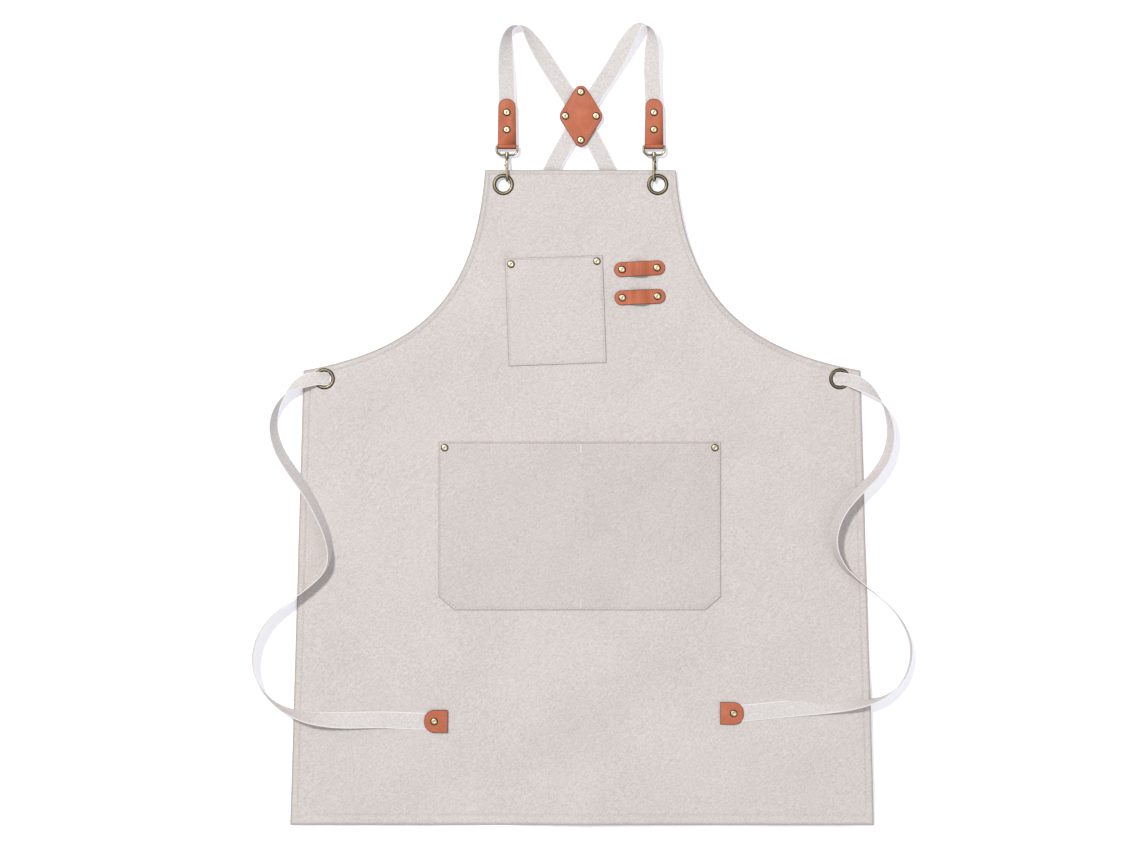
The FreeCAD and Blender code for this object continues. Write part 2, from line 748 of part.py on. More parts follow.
def hook_cheek(x):
    """Flat cheek that carries one end of the gate's pin."""
    y, z = gate_pivot()
    root = y + gate_pivot_back
    low, high = (strap_axis_z + collar_diameter * share for share in gate_cheek_root)
    corners = [(y, z - gate_cheek_radius), (root, low), (root, high), (y, z + gate_cheek_radius)]
    points = [V(x, cy, cz) for cy, cz in corners]
    arm = Part.Face(Part.makePolygon(points + points[:1])).extrude(V(gate_cheek, 0, 0))
    return arm.fuse(Part.makeCylinder(gate_cheek_radius, gate_cheek, V(x, y, z), V(1, 0, 0)))


def hook_body(side):
    """Neck, collar, spine and nose of the swivel hook, with two cheeks for the gate's pin."""
    z, radius = strap_axis_z, hook_wire / 2
    collar_top = eye_bottom() - collar_gap
    collar_middle = collar_top - collar_length / 2
    tip = collar_top - hook_reach
    collar_start = V(0, collar_top - collar_length, z)
    collar = Part.makeCylinder(collar_diameter / 2, collar_length, collar_start, V(0, 1, 0))
    head_start = eye_bottom() + eye_length + collar_gap
    neck_length = head_start + neck_head_length - collar_middle
    neck = Part.makeCylinder(neck_diameter / 2, neck_length, V(0, collar_middle, z), V(0, 1, 0))
    head = Part.makeCylinder(neck_head / 2, neck_head_length, V(0, head_start, z), V(0, 1, 0))
    crown = (hook_spine_z - radius) / 2
    shank = rod([(0, collar_middle, z), (0, collar_middle - hook_shoulder, hook_spine_z),
                 (0, tip + radius, hook_spine_z), (0, tip + radius, radius), (0, tip + hook_nose, radius)],
                radius, [hook_shoulder_bend, crown - slip, crown - slip])
    shape = collar.fuse(neck).fuse(head).fuse(shank)
    for x in (-gate_cheek_inner - gate_cheek, gate_cheek_inner):
        shape = shape.fuse(hook_cheek(x))
    return seated(shape.cut(gate_pin_rod(gate_pin_diameter / 2 + gate_pin_clearance, deep)), side)


def gate_pin_rod(radius, length):
    """Cylinder along the gate's axis."""
    y, z = gate_pivot()
    return Part.makeCylinder(radius, length, V(-length / 2, y, z), V(1, 0, 0))


def gate_pin(side):
    """Pin that the gate turns on, held in the hook's two cheeks."""
    length = 2 * (gate_cheek_inner + gate_cheek + gate_pin_end)
    return seated(gate_pin_rod(gate_pin_diameter / 2, length), side)


def gate(side):
    """Sprung gate that closes the hook's mouth, with a thumb stud on its outer side."""
    y, z = gate_pivot()
    tongue_x = -gate_cheek_inner + gate_side_gap
    nose_z = hook_wire / 2
    half = gate_height / 2
    end = y - gate_length
    tail = Part.makeCylinder(gate_tail_radius, gate_tongue, V(tongue_x, y, z), V(1, 0, 0))
    neck_y = y - gate_cheek_radius - gate_clear
    heel = end + gate_end_slope
    tip_end = [(heel, nose_z - half), (end, nose_z + half)]
    corners = [(y, z - gate_tail_radius)] + tip_end + [(y, z + gate_tail_radius)]
    points = [V(tongue_x, cy, cz) for cy, cz in corners]
    tongue = Part.Face(Part.makePolygon(points + points[:1])).extrude(V(gate_tongue, 0, 0))
    shoulder = z - gate_shoulder_drop
    bar_points = [(neck_y, shoulder - half)] + tip_end + [(neck_y, shoulder + half)]
    points = [V(-hook_wire / 2, cy, cz) for cy, cz in bar_points]
    bar = Part.Face(Part.makePolygon(points + points[:1])).extrude(V(hook_wire, 0, 0))
    stud_y = neck_y - gate_thumb
    stud_start = V(-hook_wire / 2 - gate_thumb, stud_y, z - half)
    stud = Part.makeCylinder(gate_thumb / 2, gate_thumb, stud_start, V(1, 0, 0))
    shape = tail.fuse(tongue).fuse(bar).fuse(stud)
    return seated(shape.cut(gate_pin_rod(gate_pin_diameter / 2 + gate_pin_clearance, deep)), side)


def gate_spring(side):
    """Coil on the pin beside the gate's tongue, which closes the gate."""
    y, z = gate_pivot()
    x = -gate_cheek_inner + gate_side_gap + gate_tongue + gate_side_gap
    width = gate_cheek_inner - gate_side_gap - x
    coil = Part.makeCylinder(gate_spring_outer / 2, width, V(x, y, z), V(1, 0, 0))
    return seated(coil.cut(gate_pin_rod(gate_pin_diameter / 2 + gate_pin_clearance, deep)), side)


def kept_beyond(shape, height):
    """The part of a piece on the strap side of a line across the apron."""
    return shape.common(Part.makeBox(ample, ample, deep * 2, V(-ample / 2, height, -deep)))


def kept_before(shape, height):
    """The part of a piece on the panel side of a line across the apron."""
    return shape.common(Part.makeBox(ample, ample, deep * 2, V(-ample / 2, height - ample, -deep)))


def shoulder_webbing(side):
    """Webbing from the tab, over the shoulder and through the patch, up to the strap's fold line."""
    route = left_shoulder_route if side == "left" else right_shoulder_route
    web_solid = kept_beyond(ribbon(route, f"{side}_shoulder_webbing"), strap_axis_height + split_gap)
    return pierced(web_solid, tab_rivet_places(side) + patch_rivet_places())


def back_webbing(side):
    """Webbing from the fold line down behind the bib to the waist eyelet on this side."""
    route = left_back_route if side == "left" else right_back_route
    return kept_before(ribbon(route, f"{side}_back_webbing"), strap_axis_height - split_gap)


def tip_place(side):
    """Outer end of a tie's tip, its direction and the z of its webbing."""
    route = left_tie_route if side == "left" else right_tie_route
    x, y, z = route[-1][:3]
    inner = -1 if x < 0 else 1
    return x - inner * tip_cover, y, z, inner


def tie_webbing(side):
    """Loose end of the webbing, from the waist eyelet to its leather tip."""
    route = left_tie_route if side == "left" else right_tie_route
    return pierced(ribbon(route, f"{side}_tie"), [tip_rivet_place(side)])


def tip_rivet_place(side):
    """Rivet through a tie's tip."""
    x, y, z, inner = tip_place(side)
    return x + inner * tip_rivet_inset, y


def tie_tip(side):
    """Leather folded over the tie's end, round where the webbing goes in."""
    x, y, z, inner = tip_place(side)
    far = x + inner * tip_length
    low = min(x, far)
    thick = web + 2 * tip_leather
    blank = Part.makeBox(tip_length, tip_width, thick, V(low, y - tip_width / 2, z - thick / 2))
    ends = upright_edges(blank, lambda point: abs(point.x - far) < 1e-6)
    blank = blank.makeFillet(tip_width / 2 * tip_round, ends)
    room = web + 2 * slip
    gap_start = min(x + inner * tip_cover, far)
    gap = Part.makeBox(tip_length - tip_cover, tip_width, room, V(gap_start, y - tip_width / 2, z - room / 2))
    return pierced(blank.cut(gap), [tip_rivet_place(side)])


def tip_rivet(side):
    """Cap and post of the rivet through a tie's tip."""
    x, y = tip_rivet_place(side)
    z = tip_place(side)[2]
    half = web / 2 + tip_leather
    return Part.makeCompound([rivet_cap(x, y, z + half), rivet_post(x, y, z - half, z + half)])


def group(shapes):
    """Several equal pieces kept together in one node."""
    return Part.makeCompound(shapes)


def build():
    """Every node of the apron by name."""
    nodes = {"apron_panel": apron_panel(), "chest_pocket": chest_pocket(), "hand_pocket": hand_pocket()}
    pocket_rivets = pocket_rivet_places()
    nodes["pocket_rivet_caps"] = group([rivet_cap(x, y, pocket_top) for x, y in pocket_rivets])
    nodes["pocket_rivet_posts"] = group([rivet_post(x, y, hem_fold, pocket_top) for x, y in pocket_rivets])
    for name, place_of in loop_places.items():
        nodes[f"{name}_tool_loop"] = tool_loop(*place_of)
    loop_top = face_top + loop_leather
    nodes["tool_loop_rivet_caps"] = group([rivet_cap(x, y, loop_top) for x, y in loop_rivet_places()])
    nodes["tool_loop_rivet_posts"] = group(
        [rivet_post(x, y, hem_fold, loop_top) for x, y in loop_rivet_places()])
    for side, sign in sides.items():
        nodes[f"{side}_bib_eyelet"] = eyelet(*bib_eyelet_place(sign), bib_bottom, bib_top)
        nodes[f"{side}_bib_eyelet_washer"] = eyelet_washer(*bib_eyelet_place(sign), bib_bottom)
        nodes[f"{side}_waist_eyelet"] = eyelet(*waist_eyelet_place(sign), hem_fold, face_top)
        nodes[f"{side}_waist_eyelet_washer"] = eyelet_washer(*waist_eyelet_place(sign), hem_fold)
        nodes[f"{side}_bail"] = bail(side)
        nodes[f"{side}_hook"] = hook_body(side)
        nodes[f"{side}_hook_gate"] = gate(side)
        nodes[f"{side}_hook_gate_pin"] = gate_pin(side)
        nodes[f"{side}_hook_gate_spring"] = gate_spring(side)
        nodes[f"{side}_shoulder_tab"] = shoulder_tab(side)
        nodes[f"{side}_shoulder_webbing"] = shoulder_webbing(side)
        nodes[f"{side}_back_webbing"] = back_webbing(side)
        nodes[f"{side}_tie"] = tie_webbing(side)
        nodes[f"{side}_tie_tip"] = tie_tip(side)
        nodes[f"{side}_tie_tip_rivet"] = tip_rivet(side)
    tab_half = web / 2 + tab_leather
    tab_rivets = [spot for side in sides for spot in tab_rivet_places(side)]
    top, bottom = strap_axis_z + tab_half, strap_axis_z - tab_half
    nodes["shoulder_tab_rivet_caps"] = group([rivet_cap(x, y, top) for x, y in tab_rivets])
    nodes["shoulder_tab_rivet_posts"] = group([rivet_post(x, y, bottom, top) for x, y in tab_rivets])
    nodes["cross_patch_back"] = patch_layer(patch_back_z)
    nodes["cross_patch_front"] = patch_layer(patch_front_z)
    top = patch_front_z + patch_leather
    nodes["cross_patch_rivet_caps"] = group([rivet_cap(x, y, top) for x, y in patch_rivet_places()])
    nodes["cross_patch_rivet_posts"] = group(
        [rivet_post(x, y, patch_back_z, top) for x, y in patch_rivet_places()])
    return nodes


def main():
    """Write one STEP file per node."""
    os.makedirs("parts", exist_ok=True)
    for name, shape in build().items():
        piece = place(shape)
        piece.exportStep(f"parts/{name}.step")
        box = piece.BoundBox
        print(f"{name}: {len(piece.Solids)} solid, valid {piece.isValid()}, volume {piece.Volume:.1f}, "
              f"z {box.ZMin:.2f} to {box.ZMax:.2f}")


main()
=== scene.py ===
"""Cross-back canvas work apron, laid flat and face up: its looks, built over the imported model.

Metres, +Z up, +Y from the hem towards the shoulder straps. Heights called rise are counted from the hem.
"""
import json
import logging
import math
from dataclasses import dataclass, field
from enum import Enum
from typing import Callable, Sequence

import bpy
import numpy as np
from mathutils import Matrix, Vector, noise

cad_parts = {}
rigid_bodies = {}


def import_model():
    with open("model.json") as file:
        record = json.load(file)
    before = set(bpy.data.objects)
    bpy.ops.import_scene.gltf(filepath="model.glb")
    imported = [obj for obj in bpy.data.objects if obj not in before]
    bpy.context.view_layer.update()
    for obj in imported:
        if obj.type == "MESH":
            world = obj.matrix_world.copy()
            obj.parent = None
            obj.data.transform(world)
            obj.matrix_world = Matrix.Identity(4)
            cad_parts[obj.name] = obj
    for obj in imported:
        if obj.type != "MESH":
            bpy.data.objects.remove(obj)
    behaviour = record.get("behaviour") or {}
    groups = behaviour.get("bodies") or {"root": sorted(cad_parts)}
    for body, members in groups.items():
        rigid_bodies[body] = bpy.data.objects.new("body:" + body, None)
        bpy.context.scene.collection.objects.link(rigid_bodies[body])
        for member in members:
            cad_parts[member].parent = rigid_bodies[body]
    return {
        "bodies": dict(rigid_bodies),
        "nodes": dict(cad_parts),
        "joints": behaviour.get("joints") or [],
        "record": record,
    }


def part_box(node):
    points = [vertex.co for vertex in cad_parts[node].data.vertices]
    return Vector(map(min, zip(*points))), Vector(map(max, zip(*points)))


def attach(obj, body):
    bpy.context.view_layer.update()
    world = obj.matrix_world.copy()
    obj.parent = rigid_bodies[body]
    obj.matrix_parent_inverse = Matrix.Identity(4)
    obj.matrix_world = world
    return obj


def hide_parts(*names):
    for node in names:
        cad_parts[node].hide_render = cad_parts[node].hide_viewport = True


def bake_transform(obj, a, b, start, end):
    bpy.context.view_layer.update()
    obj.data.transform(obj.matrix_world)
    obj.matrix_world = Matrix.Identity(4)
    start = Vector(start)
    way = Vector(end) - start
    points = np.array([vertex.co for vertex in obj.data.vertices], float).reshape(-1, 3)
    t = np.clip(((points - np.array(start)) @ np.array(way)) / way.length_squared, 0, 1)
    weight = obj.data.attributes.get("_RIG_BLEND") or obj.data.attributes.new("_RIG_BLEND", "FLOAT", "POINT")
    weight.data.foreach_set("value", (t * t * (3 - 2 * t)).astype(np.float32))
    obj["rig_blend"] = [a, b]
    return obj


MM = 0.001
LOG = logging.getLogger("apron")
Colour = tuple[float, float, float]
Station = tuple[float, float, float, float, float]


class Side(Enum):
    """Which side of the apron, as it is looked at."""

    LEFT = "left"
    RIGHT = "right"

    @property
    def other(self) -> "Side":
        """The opposite side."""
        return Side.RIGHT if self is Side.LEFT else Side.LEFT


# ---------------------------------------------------------------- shader helpers
class Signal:
    """Output socket of a shader node, with arithmetic."""

    def __init__(self, nodes: "NodeMaker", socket: bpy.types.NodeSocket) -> None:
        """Keep the socket and the maker that adds further nodes."""
        self.nodes = nodes
        self.socket = socket

    def _math(self, operation: str, *values: "Signal | float") -> "Signal":
        """Add one Math node."""
        return self.nodes.add("ShaderNodeMath", {"operation": operation}, dict(enumerate(values)))

    def __add__(self, other: "Signal | float") -> "Signal":
        """Sum."""
        return self._math("ADD", self, other)

    def __radd__(self, other: float) -> "Signal":
        """Sum, reflected."""
        return self._math("ADD", other, self)

    def __sub__(self, other: "Signal | float") -> "Signal":
        """Difference."""
        return self._math("SUBTRACT", self, other)

    def __rsub__(self, other: float) -> "Signal":
        """Difference, reflected."""
        return self._math("SUBTRACT", other, self)

    def __mul__(self, other: "Signal | float") -> "Signal":
        """Product."""
        return self._math("MULTIPLY", self, other)

    def __rmul__(self, other: float) -> "Signal":
        """Product, reflected."""
        return self._math("MULTIPLY", other, self)

    def above(self, low: float, high: float) -> "Signal":
        """0 below low, 1 above high, and smooth between them."""
        inputs = {"Value": self, "From Min": low, "From Max": high}
        return self.nodes.add("ShaderNodeMapRange", {"interpolation_type": "SMOOTHSTEP"}, inputs)

    def sine(self) -> "Signal":
        """Sine of the value."""
        return self._math("SINE", self)


class NodeMaker:
    """Adds the nodes of one material."""

    def __init__(self, name: str) -> None:
        """Start a material with its surface shader in place."""
        self.material = bpy.data.materials.new(name)
        self.material.use_nodes = True
        self.tree = self.material.node_tree
        self.surface = self.tree.nodes["Principled BSDF"]

    def add(self, kind: str, settings: dict | None = None, inputs: dict | None = None,
            output: int | str = 0) -> Signal:
        """Add a node.

        Args:
            kind: the node's type.
            settings: its properties, set first.
            inputs: values or signals by socket name or number.
            output: which output socket to return.

        Returns:
            The chosen output as a signal.
        """
        node = self.tree.nodes.new(kind)
        for name, value in (settings or {}).items():
            setattr(node, name, value)
        for name, value in (inputs or {}).items():
            self.plug(node.inputs[name], value)
        return Signal(self, node.outputs[output])

    def plug(self, socket: bpy.types.NodeSocket, value: "Signal | float | Sequence[float]") -> None:
        """Link a signal to a socket, or set the socket's own value."""
        if isinstance(value, Signal):
            self.tree.links.new(value.socket, socket)
        elif isinstance(value, (tuple, list)) and socket.type == "RGBA":
            socket.default_value = (*value, 1.0)
        else:
            socket.default_value = value

    def mix(self, share: "Signal | float", low: "Signal | Colour", high: "Signal | Colour") -> Signal:
        """Colour between two others."""
        settings = {"data_type": "RGBA", "clamp_factor": True}
        return self.add("ShaderNodeMix", settings, {0: share, 6: low, 7: high}, output=2)

    def noise(self, place: Signal, scale: float, detail: float = 2.0) -> Signal:
        """Noise from 0 to 1 with so many features a metre."""
        return self.add("ShaderNodeTexNoise", None, {"Vector": place, "Scale": scale, "Detail": detail})

    def place(self) -> Signal:
        """Object coordinates."""
        return self.add("ShaderNodeTexCoord", output="Object")

    def attribute(self, name: str) -> Signal:
        """A number kept on the piece's own mesh."""
        return self.add("ShaderNodeAttribute", {"attribute_name": name}, output="Fac")

    def axes(self, place: Signal) -> tuple[Signal, Signal, Signal]:
        """The three parts of a vector."""
        node = self.tree.nodes.new("ShaderNodeSeparateXYZ")
        self.plug(node.inputs[0], place)
        return tuple(Signal(self, socket) for socket in node.outputs)

    def bump(self, height: Signal, distance: float, strength: float = 1.0) -> Signal:
        """Relief that turns the surface's normal."""
        values = {"Height": height, "Distance": distance, "Strength": strength}
        return self.add("ShaderNodeBump", None, values, output="Normal")

    def finish(self, **sockets: "Signal | float | Sequence[float]") -> bpy.types.Material:
        """Set the surface's sockets, named with underscores for spaces."""
        for name, value in sockets.items():
            self.plug(self.surface.inputs[name.replace("_", " ")], value)
        return self.material


@dataclass(frozen=True)
class CanvasFinish:
    """Undyed plain-weave canvas."""

    name: str = "canvas"
    light: Colour = (0.710, 0.662, 0.634)
    dark: Colour = (0.490, 0.442, 0.416)
    fleck_and_fold_shade: Colour = (0.26, 0.20, 0.16)
    thread_pitch: float = 0.9 * MM
    slant: float = math.radians(-42)
    streaks: tuple[float, float, float] = (170.0, 520.0, 170.0)
    slubs: float = 520.0
    clouds: float = 9.0
    husks: float = 15.0
    fold_shade: float = 0.42
    relief: float = 0.2 * MM

    def material(self) -> bpy.types.Material:
        """Weave, faint mottling, small dark flecks and painted shade along the folded edges."""
        nodes = NodeMaker(self.name)
        place = nodes.place()
        x, y, _ = nodes.axes(place)
        turn = 2 * math.pi / self.thread_pitch
        warp = (x * turn).sine()
        weft = (y * turn).sine()
        weave = (warp + weft) * 0.25 + 0.5
        slant = nodes.add("ShaderNodeMapping", None, {"Vector": place, "Rotation": (0, 0, self.slant)})
        streaks = nodes.add("ShaderNodeMapping", None, {"Vector": slant, "Scale": self.streaks})
        twill = nodes.noise(streaks, 1.0, 2.0)
        slub = nodes.noise(place, self.slubs, 3.0)
        cloud = nodes.noise(place, self.clouds, 5.0)
        tone = weave * 0.10 + slub * 0.75 + twill * 0.32 + cloud * 0.20
        cloth = nodes.mix(tone.above(0.38, 1.08), self.light, self.dark)
        husk = nodes.add("ShaderNodeTexVoronoi", None, {"Vector": place, "Scale": self.husks})
        flecks = 1 - husk.above(0.008, 0.016)
        specked = nodes.mix(flecks * 0.7, cloth, self.fleck_and_fold_shade)
        # Painted shade: the fold attribute darkens each sheet's folded rim towards the dark fleck colour.
        colour = nodes.mix(nodes.attribute("fold") * self.fold_shade, specked, self.fleck_and_fold_shade)
        relief = nodes.bump(weave * 0.6 + slub * 0.9, self.relief, 0.8)
        return nodes.finish(Base_Color=colour, Roughness=0.92, Normal=relief, Specular_IOR_Level=0.25)


@dataclass(frozen=True)
class WebbingFinish:
    """Off-white cotton webbing with tight selvages, paler partly by their yarn and partly by a painted
    highlight along the edges.
    """

    name: str = "webbing"
    light: Colour = (0.775, 0.735, 0.715)
    dark: Colour = (0.520, 0.475, 0.455)
    selvage_highlight: Colour = (0.90, 0.88, 0.87)
    rib_pitch: float = 1.35 * MM
    pick_share: float = 0.7
    wear: float = 480.0
    relief: float = 0.22 * MM

    def material(self) -> bpy.types.Material:
        """Ribs along the run, crossed by the weft, read from the band's own map."""
        nodes = NodeMaker(self.name)
        band = nodes.add("ShaderNodeUVMap", {"uv_map": "band"})
        across, along, _ = nodes.axes(band)
        ribs = (across * (2 * math.pi / self.rib_pitch)).sine()
        picks = (along * (2 * math.pi / (self.rib_pitch * self.pick_share)) + ribs * 1.6).sine()
        weave = (ribs + picks) * 0.25 + 0.5
        wear = nodes.noise(nodes.place(), self.wear, 3.0)
        cloth = nodes.mix((weave * 0.42 + wear * 0.75).above(0.32, 0.95), self.light, self.dark)
        # Painted highlight: both edges of the band are lightened towards the pale selvage colour.
        edge = nodes.attribute("selvage_highlight").above(0.84, 0.97)
        colour = nodes.mix(edge * 0.8, cloth, self.selvage_highlight)
        relief = nodes.bump(weave, self.relief, 0.8)
        return nodes.finish(Base_Color=colour, Roughness=0.9, Normal=relief, Specular_IOR_Level=0.25)


@dataclass(frozen=True)
class LeatherFinish:
    """Tan leather with burnished edges, darkened further with painted shade."""

    name: str = "leather"
    light: Colour = (0.560, 0.158, 0.070)
    dark: Colour = (0.430, 0.102, 0.042)
    burnish_and_edge_shade: Colour = (0.150, 0.034, 0.016)
    clouds: float = 60.0
    pores: float = 1100.0
    creases: float = 260.0
    relief: float = 0.14 * MM

    def material(self) -> bpy.types.Material:
        """Cloudy dye, fine grain, and dark edges that are partly burnishing and partly painted shade."""
        nodes = NodeMaker(self.name)
        place = nodes.place()
        cloud = nodes.noise(place, self.clouds, 4.0)
        grain = nodes.add("ShaderNodeTexVoronoi", None, {"Vector": place, "Scale": self.pores})
        hide = nodes.mix((cloud * 0.8 + grain * 0.35).above(0.25, 0.85), self.light, self.dark)
        # Burnishing and painted shade: the edges are darkened through the burnish attribute.
        edge = nodes.attribute("burnish_and_edge_shade").above(0.1, 0.75)
        colour = nodes.mix(edge, hide, self.burnish_and_edge_shade)
        relief = nodes.bump(grain * 0.6 + nodes.noise(place, self.creases, 2.0), self.relief, 0.5)
        return nodes.finish(Base_Color=colour, Roughness=0.52 + cloud * 0.14, Normal=relief)


@dataclass(frozen=True)
class BrassFinish:
    """Antique brass: bright where it is rubbed, dark with patina in its hollows and with painted shade on
    rims, bores and undersides.
    """

    name: str = "brass"
    bright: Colour = (0.86, 0.78, 0.50)
    aged: Colour = (0.46, 0.36, 0.20)
    patina_and_shade: Colour = (0.045, 0.032, 0.022)
    rubs: float = 320.0

    def material(self) -> bpy.types.Material:
        """Rubbed high spots over an aged coat."""
        nodes = NodeMaker(self.name)
        place = nodes.place()
        rubbed = nodes.noise(place, self.rubs, 3.0).above(0.3, 0.7)
        metal = nodes.mix(rubbed * 0.7, self.bright, self.aged)
        # The attribute holds patina in hollows and painted shade on rims, bores and undersides.
        shade = nodes.attribute("patina_and_shade").above(0.2, 0.9)
        colour = nodes.mix(shade, metal, self.patina_and_shade)
        return nodes.finish(Base_Color=colour, Metallic=1.0, Roughness=0.30 + rubbed * 0.16)


@dataclass(frozen=True)
class ThreadFinish:
    """Cotton sewing thread."""

    name: str = "thread"
    colour: Colour = (0.74, 0.71, 0.69)

    def material(self) -> bpy.types.Material:
        """Plain matt thread."""
        return NodeMaker(self.name).finish(Base_Color=self.colour, Roughness=0.8)


@dataclass(frozen=True)
class SpringFinish:
    """Bright spring wire."""

    name: str = "spring wire"
    colour: Colour = (0.45, 0.45, 0.46)

    def material(self) -> bpy.types.Material:
        """Plain bright steel."""
        return NodeMaker(self.name).finish(Base_Color=self.colour, Metallic=1.0, Roughness=0.3)


# ---------------------------------------------------------------- workshop
@dataclass
class Workshop:
    """The loaded frame, the finishes and the ways of making that every sub-assembly shares."""

    frame: dict
    body_of: dict[str, str] = field(default_factory=dict)
    finishes: dict[str, bpy.types.Material] = field(default_factory=dict)
    made: int = 0

    def __post_init__(self) -> None:
        """Look up each node's body, and make the finishes."""
        for body, nodes in self.frame["record"]["behaviour"]["bodies"].items():
            self.body_of.update({node: body for node in nodes})
        kinds = (CanvasFinish(), WebbingFinish(), LeatherFinish(), BrassFinish(), ThreadFinish())
        self.finishes = {kind.name: kind.material() for kind in kinds}
        self.finishes["spring_steel"] = SpringFinish().material()

    def deselect(self) -> None:
        """Leave edit mode and select nothing."""
        if bpy.context.object and bpy.context.object.mode != "OBJECT":
            bpy.ops.object.mode_set(mode="OBJECT")
        bpy.ops.object.select_all(action="DESELECT")

    def pick(self, piece: bpy.types.Object) -> None:
        """Make a piece the only selected one."""
        self.deselect()
        piece.select_set(True)
        bpy.context.view_layer.objects.active = piece

    def mesh(self, name: str, points: Sequence, faces: Sequence) -> bpy.types.Object:
        """New piece from points and faces."""
        data = bpy.data.meshes.new(name)
        data.from_pydata([tuple(map(float, p)) for p in points], [], [tuple(map(int, f)) for f in faces])
        data.validate()
        piece = bpy.data.objects.new(name, data)
        bpy.context.collection.objects.link(piece)
        return piece

    def modify(self, piece: bpy.types.Object, kind: str, **settings: object) -> None:
        """Add a modifier and apply it."""
        self.pick(piece)
        modifier = piece.modifiers.new(kind.lower(), kind)
        for name, value in settings.items():
            setattr(modifier, name, value)
        bpy.ops.object.modifier_apply(modifier=modifier.name)

    def smooth(self, piece: bpy.types.Object, degrees: float = 40.0) -> None:
        """Shade smooth, with edges sharper than the angle kept crisp."""
        self.pick(piece)
        bpy.ops.object.shade_smooth_by_angle(angle=math.radians(degrees))

    def number(self, piece: bpy.types.Object, name: str, values: np.ndarray, domain: str = "POINT") -> None:
        """Keep one number on the mesh for each point, or for each corner of its faces."""
        piece.data.attributes.new(name, "FLOAT", domain).data.foreach_set("value", values.astype(np.float32))

    def settle(self, piece: bpy.types.Object, finish: str, slot: str, nodes: Sequence[str],
               body: str = "") -> None:
        """Give a finished piece its finish and its body, and hide the nodes that it stands for.

        Args:
            piece: the finished piece.
            finish: which finish it wears.
            slot: not used.
            nodes: the nodes that it replaces, in one body.
            body: the body it rides on, or empty for that of its first node.
        """
        piece.data.materials.clear()
        piece.data.materials.append(self.finishes[finish])
        if nodes:
            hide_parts(*nodes)
        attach(piece, body or self.body_of[nodes[0]])
        self.made += 1
        LOG.info("%s: %d faces", piece.name, len(piece.data.polygons))

    def copy_of(self, node: str, name: str) -> bpy.types.Object:
        """A node's shape as a new piece with its loose triangles joined."""
        source = self.frame["nodes"][node]
        piece = bpy.data.objects.new(name, source.data.copy())
        bpy.context.collection.objects.link(piece)
        self.pick(piece)
        bpy.ops.object.mode_set(mode="EDIT")
        bpy.ops.mesh.select_all(action="SELECT")
        bpy.ops.mesh.remove_doubles(threshold=0.000004)
        bpy.ops.mesh.dissolve_limited(angle_limit=math.radians(0.4))
        bpy.ops.object.mode_set(mode="OBJECT")
        return piece

    def islands(self, node: str) -> list[tuple[Vector, Vector]]:
        """Lowest and highest corner of each separate solid of a node."""
        piece = self.copy_of(node, "islands")
        count = len(piece.data.vertices)
        group = list(range(count))

        def root(i: int) -> int:
            """Leader of a point's group."""
            while group[i] != i:
                group[i] = group[group[i]]
                i = group[i]
            return i

        for edge in piece.data.edges:
            group[root(edge.vertices[0])] = root(edge.vertices[1])
        found: dict[int, list[Vector]] = {}
        for i, vertex in enumerate(piece.data.vertices):
            found.setdefault(root(i), []).append(vertex.co.copy())
        bpy.data.objects.remove(piece)
        return [
            (Vector(map(min, zip(*points))), Vector(map(max, zip(*points))))
            for points in found.values()
        ]

    def lathe(self, name: str, profile: Sequence[tuple[float, float]], steps: int) -> bpy.types.Object:
        """Turn a profile of (radius, height) once round Z."""
        points = [(r, 0, z) for r, z in profile]
        data = bpy.data.meshes.new(name)
        data.from_pydata(points, [(i, i + 1) for i in range(len(points) - 1)], [])
        piece = bpy.data.objects.new(name, data)
        bpy.context.collection.objects.link(piece)
        self.pick(piece)
        bpy.ops.object.mode_set(mode="EDIT")
        bpy.ops.mesh.select_all(action="SELECT")
        bpy.ops.mesh.spin(steps=steps, angle=2 * math.pi, center=(0, 0, 0), axis=(0, 0, 1))
        bpy.ops.mesh.select_all(action="SELECT")
        bpy.ops.mesh.remove_doubles(threshold=0.00001)
        bpy.ops.mesh.normals_make_consistent(inside=False)
        bpy.ops.object.mode_set(mode="OBJECT")
        return piece

    def copies(self, name: str, pattern: bpy.types.Object, moves: Sequence[np.ndarray]) -> bpy.types.Object:
        """One piece made of a pattern's copies, each moved by its own 4x4 matrix."""
        size = len(pattern.data.vertices)
        points = np.empty(size * 3)
        pattern.data.vertices.foreach_get("co", points)
        flat = np.hstack([points.reshape(-1, 3), np.ones((size, 1))])
        faces = [tuple(polygon.vertices) for polygon in pattern.data.polygons]
        placed = np.vstack([(flat @ move.T)[:, :3] for move in moves])
        every = [tuple(v + k * size for v in face) for k in range(len(moves)) for face in faces]
        numbers = {}
        for attribute in pattern.data.attributes:
            if attribute.data_type == "FLOAT" and attribute.domain == "POINT":
                values = np.empty(size, np.float32)
                attribute.data.foreach_get("value", values)
                numbers[attribute.name] = np.tile(values, len(moves))
        bpy.data.objects.remove(pattern)
        piece = self.mesh(name, placed, every)
        for key, values in numbers.items():
            self.number(piece, key, values)
        return piece


def smoothstep(value: np.ndarray | float, low: float, high: float) -> np.ndarray | float:
    """0 below low, 1 above high, and smooth between them."""
    share = np.clip((value - low) / (high - low), 0.0, 1.0)
    return share * share * (3 - 2 * share)


def middle_of(node: str) -> tuple[float, float]:
    """Middle of a node's box, seen from above."""
    low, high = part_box(node)
    return (low[0] + high[0]) / 2, (low[1] + high[1]) / 2


def no_rise(_x: float, _y: float) -> float:
    """No rise anywhere."""
    return 0.0


def frame_matrix(place: Sequence[float], ahead: Sequence[float], up: Sequence[float]) -> np.ndarray:
    """4x4 matrix that puts X along ahead and Z near up, at a place."""
    x = Vector(ahead).normalized()
    y = Vector(up).cross(x).normalized()
    z = x.cross(y)
    matrix = np.eye(4)
    for column, axis in enumerate((x, y, z, Vector(place))):
        matrix[:3, column] = axis
    return matrix


